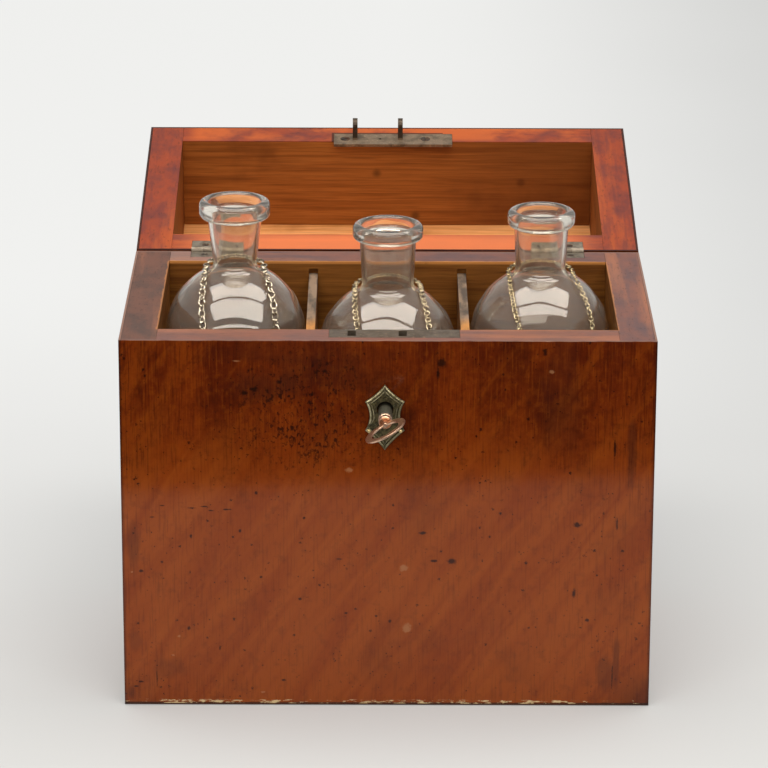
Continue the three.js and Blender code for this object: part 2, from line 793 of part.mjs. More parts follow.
piece(lid, 'lid_back_board', onLid(cut(
  block(betweenX, backBoardY, lidWallZ),
  ...hingeRecesses(lidRim, 1),
)), 'pine');
piece(lid, 'lid_left_board', onLid(block([-boardOuterX, -insideX], sideSpanY, lidWallZ)), 'pine');
piece(lid, 'lid_right_board', onLid(block([insideX, boardOuterX], sideSpanY, lidWallZ)), 'pine');
piece(lid, 'lid_top_board', onLid(block([-boardOuterX, boardOuterX], sideSpanY, lidTopZ)), 'pine');

// Lid veneers
const lidSideZ = [lidRim, lidTopZ[1]];
piece(lid, 'lid_front_veneer', onLid(
  block([-halfWidth, halfWidth], [-halfDepth, -halfDepth + veneerThickness], lidSideZ),
), 'veneer');
piece(lid, 'lid_back_veneer', onLid(cut(
  block([-halfWidth, halfWidth], [halfDepth - veneerThickness, halfDepth], lidSideZ),
  ...hingeRecesses(lidRim, 1),
)), 'veneer');
piece(lid, 'lid_left_veneer', onLid(
  block([-halfWidth, -halfWidth + veneerThickness], sideSpanY, lidSideZ),
), 'veneer');
piece(lid, 'lid_right_veneer', onLid(
  block([halfWidth - veneerThickness, halfWidth], sideSpanY, lidSideZ),
), 'veneer');
piece(lid, 'lid_top_veneer', onLid(
  block([-halfWidth, halfWidth], [-halfDepth, halfDepth], lidVeneerZ),
), 'veneer');

// Link plate: a link is a flat eye with a round tip that stands out of the plate
function link(x) {
  const half = linkWidth / 2;
  const tipZ = lidRim - linkHeight;
  const eyeHalf = linkEyeWidth / 2;
  const eyeFoot = tipZ + linkTipBar + eyeHalf;
  const side = around(x, linkThickness);
  const through = [side[0] - cutOverrun, side[1] + cutOverrun];
  const stem = block(side, around(linkY, linkWidth), [tipZ + half, lidRim + linkPlateThickness / 2]);
  const tip = bar('x', half, ...side, barrelSides).translate(0, linkY, tipZ + half);
  const eyeRound = bar('x', eyeHalf, ...through, barrelSides).translate(0, linkY, eyeFoot);
  const eyeTop = block(through, around(linkY, linkEyeWidth), [eyeFoot, tipZ + linkTipBar + linkEyeHeight]);
  return cut(join(stem, tip), join(eyeRound, eyeTop));
}
const spareHole = bar(
  'z', spareHoleRadius, lidRim - cutOverrun, lidRim + linkPlateThickness + cutOverrun, screwSides,
);
const linkPlate = cut(
  block(linkPlateX, linkPlateY, [lidRim, lidRim + linkPlateThickness]),
  ...linkScrewCutters,
  spareHole.translate(linkXs[1] - spareHoleFromLink, linkScrewY, 0),
);
piece(lid, 'link_plate', onLid(join(linkPlate, ...linkXs.map(link))), 'brass');
for (const place of linkScrews) {
  piece(lid, `link_plate_screw_${place.name}`, onLid(screw(linkScrewHeadRadius, screwLength)
    .rotateX(Math.PI).translate(place.x, linkScrewY, lidRim)), 'steel');
}

// Bottles: a cylinder under a hemispherical shoulder, a tapering neck and a rolled lip
const bottles = [
  {
    name: 'left',
    x: -compartmentX,
    top: rim + leftLipAboveRim,
    shoulder: rim - leftShoulderBelowRim,
    neckTop: neckTopRadius,
    neckFoot: leftNeckFootRadius,
    lip: wideLipRadius,
    lipHeight: leftLipHeight,
    chainRadius: leftChainRadius,
    plateTurn: leftPlateTurn,
    plateWidth: leftPlateWidth,
  },
  {
    name: 'middle',
    x: 0,
    top: rim + middleLipAboveRim,
    shoulder: rim - middleShoulderBelowRim,
    neckTop: wideNeckTopRadius,
    neckFoot: middleNeckFootRadius,
    lip: wideLipRadius,
    lipHeight: middleLipHeight,
    chainRadius: middleChainRadius,
    plateTurn: middlePlateTurn,
    plateWidth: middlePlateWidth,
  },
  {
    name: 'right',
    x: compartmentX,
    top: rim + rightLipAboveRim,
    shoulder: rim - rightShoulderBelowRim,
    neckTop: neckTopRadius,
    neckFoot: rightNeckFootRadius,
    lip: narrowLipRadius,
    lipHeight: rightLipHeight,
    chainRadius: rightChainRadius,
    plateTurn: rightPlateTurn,
    plateWidth: rightPlateWidth,
  },
];

function arc(cx, cz, radius, from, to, steps) {
  return Array.from({ length: steps + 1 }, (_, i) => {
    const angle = from + (to - from) * (i / steps);
    return new THREE.Vector2(cx + radius * Math.cos(angle), cz + radius * Math.sin(angle));
  });
}

function bottleProfile({ top, shoulder, neckTop, neckFoot, lip, lipHeight }) {
  const foot = bottomThickness + bottleLift;
  const quarter = Math.PI / 2;
  const filletOut = neckFoot + neckFillet;
  const meets = Math.acos(filletOut / (bottleRadius + neckFillet));
  const filletZ = shoulder + Math.sin(meets) * (bottleRadius + neckFillet);
  const lipFoot = top - lipHeight;
  const inner = bottleRadius - glassWall;
  const innerMeets = Math.acos((neckFoot - neckWall) / inner);
  return [
    new THREE.Vector2(0, foot + puntHeight),
    new THREE.Vector2(bottleRadius - puntInset, foot),
    ...arc(bottleRadius - heelRadius, foot + heelRadius, heelRadius, -quarter, 0, filletSteps),
    ...arc(0, shoulder, bottleRadius, 0, meets, shoulderSteps),
    ...arc(filletOut, filletZ, neckFillet, Math.PI + meets, Math.PI, filletSteps).slice(1),
    new THREE.Vector2(neckTop, lipFoot),
    ...arc(lip - lipRound, lipFoot + lipRound, lipRound, -quarter, 0, filletSteps),
    ...arc(lip - lipRound, top - lipRound, lipRound, 0, quarter, filletSteps),
    new THREE.Vector2(lip - lipWall, top),
    new THREE.Vector2(neckTop - neckWall, lipFoot),
    ...arc(0, shoulder, inner, innerMeets, 0, shoulderSteps - 1),
    new THREE.Vector2(inner, foot + glassBase + heelRadius),
    new THREE.Vector2(inner - heelRadius, foot + glassBase),
    new THREE.Vector2(0, foot + glassBase + puntHeight),
  ];
}

// A chain lies behind the neck and comes forward over the shoulder on both sides, to its plate
function chainPath({ x, shoulder, neckFoot, chainRadius, plateTurn, plateWidth }) {
  const reach = bottleRadius + chainGap + chainRadius;
  const loop = neckFoot + chainGap + chainRadius + chainSlack;
  const start = Math.asin(loop / reach);
  const plateAzimuth = Math.asin(plateTurn / reach);
  const spread = (plateWidth / 2 - plateHoleInset) / reach;
  const strand = (side) => {
    const points = [];
    const endX = reach * Math.sin(plateAzimuth + side * spread);
    for (let i = 1; i <= strandPoints; i += 1) {
      const t = i / strandPoints;
      const fromTop = start + (Math.PI / 2 - start) * t;
      const ring = reach * Math.sin(fromTop);
      const bowed = side * chainBow * Math.sin(Math.PI * t);
      const strandX = side * loop * (1 - t) + endX * t + bowed;
      points.push(new THREE.Vector3(
        x + strandX,
        -Math.sqrt(Math.max(0, ring * ring - strandX * strandX)),
        shoulder + reach * Math.cos(fromTop),
      ));
    }
    const last = points[strandPoints - 1];
    points.push(new THREE.Vector3(last.x, last.y, shoulder - plateBelowShoulder + chainGap));
    return points;
  };
  const behind = [];
  for (let i = 0; i <= loopPoints; i += 1) {
    const turn = Math.PI * (i / loopPoints);
    behind.push(new THREE.Vector3(
      x - loop * Math.cos(turn),
      loop * Math.sin(turn),
      shoulder + reach * Math.cos(start) + chainRise * Math.sin(turn),
    ));
  }
  const points = [...strand(-1).reverse(), ...behind, ...strand(1)];
  return new THREE.CatmullRomCurve3(points, false, 'centripetal');
}

function roundSection(radius, sides) {
  const corners = Array.from({ length: sides }, (_, i) => {
    const angle = (i / sides) * Math.PI * 2;
    return new THREE.Vector2(radius * Math.cos(angle), radius * Math.sin(angle));
  });
  return new THREE.Shape(corners);
}

// The plate on a chain is curved to the bottle and hangs against it
function chainPlate({ x, shoulder, chainRadius, plateTurn, plateWidth }) {
  const inner = bottleRadius + chainGap + chainRadius - plateThickness / 2;
  const outer = inner + plateThickness;
  const middle = -Math.PI / 2 + Math.asin(plateTurn / inner);
  const half = plateWidth / 2 / inner;
  const outline = new THREE.Shape();
  outline.absarc(0, 0, outer, middle - half, middle + half, false);
  outline.absarc(0, 0, inner, middle + half, middle - half, true);
  outline.closePath();
  const plate = new THREE.ExtrudeGeometry(outline, {
    depth: plateHeight,
    bevelEnabled: false,
    curveSegments: plateSteps,
  });
  return plate.translate(x, 0, shoulder - plateBelowShoulder - plateHeight);
}

for (const bottle of bottles) {
  const turned = new THREE.LatheGeometry(bottleProfile(bottle), bottleSides).rotateX(Math.PI / 2);
  const chain = new THREE.ExtrudeGeometry(roundSection(bottle.chainRadius, chainSides), {
    steps: chainSteps,
    extrudePath: chainPath(bottle),
  });
  piece(object, `bottle_${bottle.name}`, turned.translate(bottle.x, 0, 0), 'glass');
  piece(object, `chain_${bottle.name}`, chain, 'silver');
  piece(object, `plate_${bottle.name}`, chainPlate(bottle), 'silver');
}

export default object;
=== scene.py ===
import json
from math import acos, asin, atan2, copysign, cos, pi, radians, sin, sqrt

import bmesh
import bpy
from mathutils import Matrix, Vector

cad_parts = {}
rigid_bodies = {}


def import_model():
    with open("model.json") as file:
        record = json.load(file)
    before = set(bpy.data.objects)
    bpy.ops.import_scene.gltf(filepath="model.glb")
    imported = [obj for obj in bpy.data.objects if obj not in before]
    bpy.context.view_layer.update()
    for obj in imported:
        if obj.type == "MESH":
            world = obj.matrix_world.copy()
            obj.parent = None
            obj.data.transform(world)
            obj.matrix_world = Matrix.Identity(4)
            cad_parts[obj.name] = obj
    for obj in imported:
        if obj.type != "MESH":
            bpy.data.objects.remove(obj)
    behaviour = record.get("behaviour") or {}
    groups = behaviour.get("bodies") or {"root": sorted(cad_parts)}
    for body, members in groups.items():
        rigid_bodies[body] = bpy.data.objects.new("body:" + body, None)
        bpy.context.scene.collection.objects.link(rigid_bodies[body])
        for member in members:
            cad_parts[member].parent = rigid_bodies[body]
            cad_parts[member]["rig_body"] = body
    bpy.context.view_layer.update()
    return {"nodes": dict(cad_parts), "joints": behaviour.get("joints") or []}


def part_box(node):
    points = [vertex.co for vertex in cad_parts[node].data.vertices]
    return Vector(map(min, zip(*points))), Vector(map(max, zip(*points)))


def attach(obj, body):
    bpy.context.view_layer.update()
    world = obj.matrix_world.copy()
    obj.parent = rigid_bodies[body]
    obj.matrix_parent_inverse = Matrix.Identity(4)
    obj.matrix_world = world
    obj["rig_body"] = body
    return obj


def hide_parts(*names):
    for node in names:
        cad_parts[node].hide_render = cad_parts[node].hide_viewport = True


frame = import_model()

nodes = frame["nodes"]

# The view. The case was photographed from well back and a little above, through a long lens,
# almost square on to its front. The picture is square, and its middle is the view's target.
picture_size = 768
focal_pixels = 4000
sensor_width = 36
view_target = Vector((-0.002, 0, 0.1647))
view_distance = 2.323
view_elevation = radians(18.47)
view_swing = radians(-0.10)
view_roll = radians(0.19)

view_back = Vector((
    sin(view_swing) * cos(view_elevation),
    -cos(view_swing) * cos(view_elevation),
    sin(view_elevation),
))
level_right = (-view_back).cross(Vector((0, 0, 1))).normalized()
level_up = level_right.cross(-view_back)
view_right = cos(view_roll) * level_right + sin(view_roll) * level_up
view_up = cos(view_roll) * level_up - sin(view_roll) * level_right
view_place = view_target + view_distance * view_back

camera = bpy.data.objects.new("camera", bpy.data.cameras.new("camera"))
camera.data.sensor_width = sensor_width
camera.data.lens = sensor_width * focal_pixels / picture_size
view_turn = Matrix((view_right, view_up, view_back)).transposed()
camera.matrix_world = Matrix.Translation(view_place) @ view_turn.to_4x4()
bpy.context.scene.collection.objects.link(camera)
bpy.context.scene.camera = camera


# The studio floor is a wide pale sheet. It is a stage piece, as is the dark cloth that lies in
# front of it: only mirror rays see the cloth, as a dark reflection in the case's polished front.
def tint(code):
    """A colour written as a web code, as the linear values that a socket takes."""
    shares = [int(code[i:i + 2], 16) / 255 for i in (1, 3, 5)]
    return [s / 12.92 if s <= 0.04045 else ((s + 0.055) / 1.055) ** 2.4 for s in shares] + [1]


class Finish:
    """A socket of a material. Sums on it add Math nodes; node() adds any other node."""

    def __init__(self, tree, socket=None):
        self.tree = tree
        self.socket = socket

    def node(self, kind, inputs=None, output=0, **settings):
        """Adds a node, with its settings set first, then its values and links."""
        made = self.tree.nodes.new("ShaderNode" + kind)
        for name, value in settings.items():
            setattr(made, name, value)
        for name, value in (inputs or {}).items():
            if isinstance(value, Finish):
                self.tree.links.new(value.socket, made.inputs[name])
            else:
                made.inputs[name].default_value = value
        return Finish(self.tree, made.outputs[output] if made.outputs else None)

    def output(self, name):
        """Another output of this socket's node."""
        return Finish(self.tree, self.socket.node.outputs[name])

    def sum(self, operation, *values):
        return self.node("Math", dict(enumerate(values)), operation=operation)

    def __add__(self, other):
        return self.sum("ADD", self, other)

    def __sub__(self, other):
        return self.sum("SUBTRACT", self, other)

    def __mul__(self, other):
        return self.sum("MULTIPLY", self, other)

    def __radd__(self, other):
        return self.sum("ADD", other, self)

    def __rsub__(self, other):
        return self.sum("SUBTRACT", other, self)

    def __rmul__(self, other):
        return self.sum("MULTIPLY", other, self)

    def at_least(self, other):
        return self.sum("MAXIMUM", self, other)

    def size(self):
        return self.sum("ABSOLUTE", self)

    def rise(self, low, high):
        """0 below low, 1 above high, and smooth between; high may be the smaller."""
        if high < low:
            return 1 - self.rise(high, low)
        inputs = {"Value": self, "From Min": low, "From Max": high}
        return self.node("MapRange", inputs, interpolation_type="SMOOTHSTEP")

    def between(self, low, high):
        """A colour: low where this share is 0, high where it is 1."""
        return self.node("Mix", {0: self, 6: low, 7: high}, 2, data_type="RGBA")

    def under(self, *coats):
        """This colour under coats of (colour, share), the last one on top."""
        top = self
        for colour, share in coats:
            top = top.node("Mix", {0: share, 6: top, 7: colour}, 2, data_type="RGBA")
        return top

    def axes(self):
        split = self.node("SeparateXYZ", {0: self})
        return [split.output(i) for i in range(3)]

    def distance(self, point=(0, 0, 0)):
        return self.node("VectorMath", {0: self, 1: point}, "Value", operation="DISTANCE")

    def placed(self, location=(0, 0, 0), rotation=(0, 0, 0), scale=(1, 1, 1)):
        return self.node("Mapping", {
            "Vector": self, "Location": location, "Rotation": rotation, "Scale": scale})

    def noise(self, scale, stretch=(1, 1, 1), detail=4, seed=0, roughness=0.55, distortion=0):
        """Cloudy values about 0.5. stretch shrinks the pattern along each axis."""
        return self.node("TexNoise", {
            "Vector": self.placed(location=(seed, 2 * seed, 3 * seed), scale=stretch),
            "Scale": scale, "Detail": detail, "Roughness": roughness, "Distortion": distortion})

    def dots(self, scale, seed=0):
        """How far each point is from the nearest of many scattered centres, in cells."""
        shifted = self.placed(location=(seed, 2 * seed, 3 * seed))
        return self.node("TexVoronoi", {"Vector": shifted, "Scale": scale})


def new_finish(name, moved=None):
    """An empty material, and the place on the piece that its patterns read."""
    material = bpy.data.materials.new(name)
    material.use_nodes = True
    material.node_tree.nodes.clear()
    place = Finish(material.node_tree).node("TexCoord", output="Object")
    return material, moved(place) if moved else place


def end_mixed(place, share, low, high, kind="Material"):
    """Ends a material or the world: low where share is 0, high where it is 1."""
    mix = place.node("MixShader", {0: share, 1: low, 2: high})
    place.node("Output" + kind, {"Surface": mix})


def plain_mesh(name, points, faces):
    """A mesh object at the origin, with its normals pointing outwards."""
    mesh = bpy.data.meshes.new(name)
    mesh.from_pydata(points, [], faces)
    work = bmesh.new()
    work.from_mesh(mesh)
    bmesh.ops.remove_doubles(work, verts=work.verts, dist=1e-6)
    bmesh.ops.recalc_face_normals(work, faces=work.faces)
    work.to_mesh(mesh)
    work.free()
    made = bpy.data.objects.new(name, mesh)
    bpy.context.scene.collection.objects.link(made)
    return made


def stage_sheet(name, low_x, high_x, low_y, high_y, z, material, slant=0):
    """A flat sheet that only dresses the stage. slant swings its far edge about the middle."""
    corners = [
        (low_x, low_y, z), (high_x, low_y, z),
        (high_x, high_y - slant * high_x, z), (low_x, high_y - slant * low_x, z),
    ]
    made = plain_mesh(name, corners, [(0, 1, 2, 3)])
    made.data.materials.append(material)
    return made


def seen_share(place, by_camera, by_mirror):
    """by_camera for the camera's own rays, by_mirror for those that come by metal or glass."""
    camera_ray = place.node("LightPath")
    mirror_ray = camera_ray.output("Is Glossy Ray").at_least(camera_ray.output("Is Transmission Ray"))
    return (by_camera * camera_ray).at_least(by_mirror * mirror_ray)


floor_reach = 7
floor_z = -0.0004
floor_near = tint("#d0cfcb")
floor_far = tint("#f3f3f1")
floor_far_right_shade = tint("#d6d6d4")
cloth_end = -0.459
cloth_slant = 0.09
cloth_z = floor_z / 2
cloth_brown = tint("#241d18")

floor_material, floor_place = new_finish("pale floor")
floor_x, floor_y, _ = floor_place.axes()
floor_mist = floor_place.noise(3, detail=2)
# Painted light: further back the floor glows brighter, with a painted shade to the far right.
far_right_painted_shade = (floor_x + 0.05 * floor_mist).rise(0.02, 0.5) * floor_y.rise(-0.1, 0.4)
painted_far_glow = far_right_painted_shade.between(floor_far, floor_far_right_shade)
glow_share = 0.12 + 0.82 * (floor_y + 0.15 * floor_mist).rise(-0.15, 0.85)
end_mixed(
    floor_place,
    seen_share(floor_place, 1, 0.8) * glow_share,
    floor_place.node("BsdfDiffuse", {"Color": floor_near}),
    floor_place.node("Emission", {"Color": painted_far_glow, "Strength": 1.0}),
)
stage_sheet("floor", -floor_reach, floor_reach, -floor_reach, floor_reach, floor_z, floor_material)

cloth_material, cloth_place = new_finish("dark cloth")
end_mixed(
    cloth_place,
    cloth_place.node("LightPath").output("Is Glossy Ray"),
    cloth_place.node("BsdfTransparent"),
    cloth_place.node("BsdfDiffuse", {"Color": cloth_brown}),
)
stage_sheet(
    "dark_cloth", -floor_reach, floor_reach, -floor_reach, cloth_end, cloth_z, cloth_material, cloth_slant)

# The light is that of a plain studio: two broad lamps overhead with a narrow gap between them,
# a soft one behind the camera, and a pale room all round.
room_shown = tint("#efefed")
room_light = tint("#ffffff")
room_light_strength = 0.36
lamps = [
    # name, place, height of the point it is aimed at, width, depth, watts
    ("lamp_front", (0, -0.95, 1.75), 0.2, 2.2, 0.9, 18),
    ("lamp_over", (0, 0.22, 1.85), 0.2, 2.2, 0.9, 21),
    ("lamp_low", (0, -3.6, 1.9), 0.1, 3.0, 0.9, 26),
]

world = bpy.data.worlds.new("room")
world.use_nodes = True
world.node_tree.nodes.clear()
room = Finish(world.node_tree)
end_mixed(
    room,
    seen_share(room, 1, 0.35),
    room.node("Background", {"Color": room_light, "Strength": room_light_strength}),
    room.node("Background", {"Color": room_shown, "Strength": 1.0}),
    "World",
)
bpy.context.scene.world = world
bpy.context.scene.view_settings.view_transform = "Standard"

for lamp_name, lamp_place, aim_height, lamp_width, lamp_depth, lamp_watts in lamps:
    light = bpy.data.lights.new(lamp_name, "AREA")
    light.shape = "RECTANGLE"
    light.size = lamp_width
    light.size_y = lamp_depth
    light.energy = lamp_watts
    lamp = bpy.data.objects.new(lamp_name, light)
    lamp.location = lamp_place
    lamp_beam = Vector((0, 0, aim_height)) - Vector(lamp_place)
    lamp.rotation_euler = lamp_beam.to_track_quat("-Z", "Y").to_euler()
    lamp.visible_glossy = False
    lamp.visible_transmission = False
    bpy.context.scene.collection.objects.link(lamp)

# The lamps' white cloths as glass and metal show them. Nothing else sees or is lit by them.
# Each one faces a point a little above the table.
panels = [
    # name, place, width, depth
    ("panel_over", (0.1, 0.02, 1.85), 2.5, 0.9),
    ("panel_front", (0.1, -1.0, 1.75), 3.2, 0.8),
    ("panel_low", (0, -3.58, 1.42), 6.0, 0.75),
]
panel_white = tint("#fff8f0")
panel_strength = 7.0
panel_aim_height = 0.2

panel_material, panel_place = new_finish("lamp cloth")
end_mixed(
    panel_place,
    seen_share(panel_place, 0, 1),
    panel_place.node("BsdfTransparent"),
    panel_place.node("Emission", {"Color": panel_white, "Strength": panel_strength}),
)
for panel_name, (x, y, z), width, depth in panels:
    panel = stage_sheet(panel_name, -width / 2, width / 2, -depth / 2, depth / 2, 0, panel_material)
    panel.location = (x, y, z)
    panel.rotation_euler = (atan2(-y, z - panel_aim_height), 0, 0)

# The case's outside is thin mahogany veneer glued over pine: fine upright grain, slanting figure
# lower down, painted lighter there as a reflection of the pale floor in the polish, and a
# century of knocks, ink spots and lifted chips along the foot.
case_low, case_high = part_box("front_veneer")
front_y = case_low.y
rim_z = case_high.z
millimetre = 0.001
figure_and_reflection_z = (0.19, 0.11)
dense_grain_x = (0.09, 0.14)
foot_ragged = 0.0016
veneer_dark = tint("#330c02")
veneer_red = tint("#541902")
veneer_brown = tint("#6a2603")
veneer_orange = tint("#8a3f08")
veneer_low_reflected_red = tint("#823507")
veneer_low_reflected_brown = tint("#924410")
veneer_spot = tint("#150804")
smudge_brown = tint("#2a120c")
scuff_pale = tint("#a8764e")
chip_pale = tint("#d9bd8a")
chip_dark = tint("#2a1a0e")
edge_worn = tint("#93705e")


def coat(place, colour, roughness, height=None, relief=0.0, **fixed):
    """Ends a material: the shader, with fixed values on its own sockets, and its output."""
    inputs = {"Base Color": colour, "Roughness": roughness}
    for name, value in fixed.items():
        inputs[name.replace("_", " ")] = value
    if height is not None:
        inputs["Normal"] = place.node("Bump", {"Height": height, "Distance": relief})
    shader = place.node("BsdfPrincipled", inputs)
    place.node("OutputMaterial", {"Surface": shader})


def wax(place, colour, roughness, height, polish=0.52):
    """Ends a veneer's material, with what is left of its polish."""
    coat(place, colour, roughness, height, relief=0.00008,
         Coat_Weight=polish, Coat_Roughness=0.09, Specular_IOR_Level=0.03)


def dress(node_name, material):
    """Gives a CAD node's own mesh its material."""
    materials = nodes[node_name].data.materials
    materials.clear()
    materials.append(material)


def mahogany(name, seed, moved=None):
    """Bare veneer, before its marks: its material, place, colour, roughness and height."""
    material, place = new_finish(name, moved)
    fibres = place.noise(1000, (1, 1, 0.05), detail=3, seed=seed)
    bands = place.noise(36, (1, 1, 0.16), seed=seed + 1, distortion=0.5)
    mottle = place.noise(190, detail=5, seed=seed + 2, roughness=0.65)
    clouds = place.noise(21, (1, 1, 0.7), seed=seed + 4)
    slanting = place.placed(rotation=(0, radians(-35), 0))
    figure = slanting.noise(75, (1, 1, 0.14), detail=5, seed=seed + 3, distortion=0.7)
    across, _, up = place.axes()
    # Painted reflection: lower down the colour turns lighter, as the polish mirrors the pale floor.
    low_figure_and_reflection = (up + 0.05 * (clouds - 0.5)).rise(*figure_and_reflection_z)
    low_reflected_colour = figure.rise(0.3, 0.7).between(veneer_low_reflected_red, veneer_low_reflected_brown)
    grain_share = 0.34 + 0.16 * across.size().rise(*dense_grain_x)
    colour = bands.rise(0.38, 0.62).between(veneer_red, veneer_brown).under(
        (low_reflected_colour, low_figure_and_reflection),
        (veneer_orange, 0.35 * figure.rise(0.5, 0.68) * (1 - low_figure_and_reflection)),
        (veneer_dark, 0.6 * clouds.rise(0.52, 0.76) * (1 - 0.6 * low_figure_and_reflection)),
        (veneer_dark, 0.42 * mottle.rise(0.5, 0.7) * (1 - 0.55 * low_figure_and_reflection)),
        (veneer_orange, 0.25 * mottle.rise(0.5, 0.34)),
        (veneer_dark, grain_share * (1 - 0.45 * low_figure_and_reflection) * fibres.rise(0.5, 0.66)),
        (veneer_orange, 0.3 * fibres.rise(0.46, 0.32)),
    )
    return material, place, colour, 0.36 + 0.12 * clouds + 0.1 * fibres, 0.6 * fibres + 0.4 * mottle


def spots(place, radius, scale, seed, few):
    """Small ragged dots scattered over a face; few is how far their numbers are thinned."""
    ragged_edge = 0.5 * (place.noise(8 * scale, detail=2, seed=seed) - 0.5)
    near = (place.dots(scale, seed) + ragged_edge).rise(radius, 0.4 * radius)
    return near * place.noise(scale / 2.3, detail=1, seed=seed).rise(few, few + 0.05)


def on_front(pixel):
    """The point of the case's front that the camera sees at a pixel of the picture."""
    right = pixel[0] - picture_size / 2
    down = pixel[1] - picture_size / 2
    ray = right * view_right - down * view_up - focal_pixels * view_back
    return view_place + ray * ((front_y - view_place.y) / ray.y)


def mark(place, pixel, half_width, half_height, ragged):
    """A ragged spot, 1 inside, centred where the picture shows it; its sizes are millimetres."""
    shrink = Vector((1 / (half_width * millimetre), 0, 1 / (half_height * millimetre)))
    local = place.placed(location=-on_front(pixel) * shrink, scale=shrink)
    return (local.distance() + ragged).rise(1.25, 0.45)


def strongest(shares):
    """The largest of several shares, at each point."""
    most = shares[0]
    for share in shares[1:]:
        most = most.at_least(share)
    return most


dark_marks = [
    # pixel of the picture, half width and half height in millimetres
    ((442, 363), 2.4, 3.2), ((438, 374), 1.0, 3.4), ((577, 525), 2.6, 1.5),
    ((452, 561), 2.8, 1.7), ((434, 561), 2.4, 0.8), ((423, 533), 2.2, 1.0),
    ((574, 593), 1.0, 2.6), ((587, 620), 1.3, 1.0), ((244, 393), 2.2, 1.8),
    ((254, 389), 2.4, 1.8), ((279, 382), 1.6, 1.2), ((292, 428), 1.4, 1.6),
    ((162, 505.5), 1.5, 0.4), ((152, 517), 1.7, 0.4), ((192, 508), 2.6, 0.45),
    ((205, 506.5), 2.6, 0.45), ((211, 510.5), 1.8, 0.45), ((227, 509.5), 2.6, 0.5),
    ((191, 536), 0.8, 1.3), ((240, 531), 0.8, 1.2), ((162, 562), 0.8, 0.8),
    ((190, 572), 0.5, 1.3), ((141, 571), 1.3, 0.9), ((261, 577), 0.8, 0.8),
    ((300, 599), 1.1, 0.9), ((346, 613), 1.1, 0.7), ((376, 616), 0.9, 0.7),
    ((390, 621), 1.0, 1.1), ((189, 628), 1.0, 1.2), ((220, 648), 0.7, 1.5),
    ((284, 680), 1.2, 0.8), ((339, 559), 2.0, 0.4), ((256, 493), 1.0, 1.0),
    ((304, 518), 0.8, 0.8), ((545, 352), 1.5, 2.2), ((612, 676), 0.35, 9.0),
    ((617, 524), 0.5, 4.0), ((157, 677), 0.35, 6.5), ((136, 686), 1.5, 0.6),
    ((141, 681.5), 1.5, 0.6), ((615, 448), 0.7, 7.0),
]
pale_marks = [
    ((349, 470), 2.0, 1.4), ((404, 568), 2.4, 2.2), ((407, 628), 2.4, 2.8),
    ((552, 372), 1.4, 1.2), ((236, 361), 2.2, 0.5), ((179, 636), 0.9, 0.8),
    ((173, 655), 0.9, 0.6), ((132, 572), 0.7, 0.6), ((263, 692), 1.5, 0.7),
]
smudges = [
    # pixel, half width and half height in millimetres, and how much of the stain shows
    ((134, 545), 4, 17, 0.35), ((135, 641), 4, 7, 0.2), ((170, 668), 11, 7, 0.22),
    ((131, 692), 2.5, 4, 0.3), ((604, 672), 5, 12, 0.35), ((616, 660), 2, 20, 0.4),
    ((330, 374), 40, 12, 0.35), ((262, 385), 22, 10, 0.4), ((298, 352), 60, 7, 0.25),
    ((560, 390), 12, 40, 0.3), ((632, 450), 3, 22, 0.5),
]
# The patch of pits left of the lock, and the one round the keyhole where the polish is gone.
pitted_patch = ((306, 408), 42, 36)
worn_patch = ((386, 414), 19, 28)
# Where two stretches of chips along the foot begin and fade out, across the front.
left_chips_begin = (-0.132, -0.127)
left_chips_fade = (-0.030, -0.070)
right_chips_begin = (-0.024, -0.014)
right_chips_fade = (0.125, 0.1)
darker_foot_height = 0.03
darker_corner_starts = 0.115

front_material, front_place, bare_colour, bare_roughness, bare_height = mahogany("front mahogany", 1)
front_x, _, front_z = front_place.axes()
ragged = 2.2 * (front_place.noise(520, detail=5, roughness=0.7) - 0.5)
fleck = spots(front_place, 0.19, 190, 5, 0.54).at_least(spots(front_place, 0.2, 400, 6, 0.56))
pit_noise = front_place.noise(560, (1, 1, 0.7), seed=9, roughness=0.6)
pit_crowds = front_place.noise(110, detail=3, seed=19)
pits = mark(front_place, *pitted_patch, ragged) * (pit_noise + 0.35 * (pit_crowds - 0.5)).rise(0.52, 0.64)
around_lock = mark(front_place, *worn_patch, ragged)
darkness = strongest([
    0.85 * fleck, 0.8 * pits, 0.35 * around_lock,
    *[0.85 * mark(front_place, *facts, ragged) for facts in dark_marks],
])
paleness = strongest([0.5 * mark(front_place, *facts, ragged) for facts in pale_marks])

foot_noise = front_place.noise(1000, (0.13, 1, 0.7), detail=5, seed=3, roughness=0.7)
foot_band = front_place.noise(70, detail=2, seed=14)
chipped_left = front_x.rise(*left_chips_begin) * front_x.rise(*left_chips_fade)
chipped_right = 0.8 * front_x.rise(*right_chips_begin) * front_x.rise(*right_chips_fade)
chipped = 0.25 + 0.75 * chipped_left.at_least(chipped_right)
foot_worn = (front_z - foot_ragged * foot_noise).rise(0.0009, 0.0004)
foot_pale = (foot_noise + 0.12 * (chipped - 1)).rise(0.5, 0.54) * foot_band.rise(0.36, 0.46)
foot_pale = foot_pale * front_z.rise(0.0007, 0.0010) * (front_z - 0.002 * foot_noise).rise(0.0022, 0.0014)
side_edge = front_x.size().rise(case_high.x - 0.002, case_high.x - 0.0003)
top_noise = front_place.noise(260, (0.4, 1, 1), seed=4)
top_worn = 0.75 * (front_z + 0.001 * top_noise).rise(rim_z + 0.0002, rim_z + 0.0005)
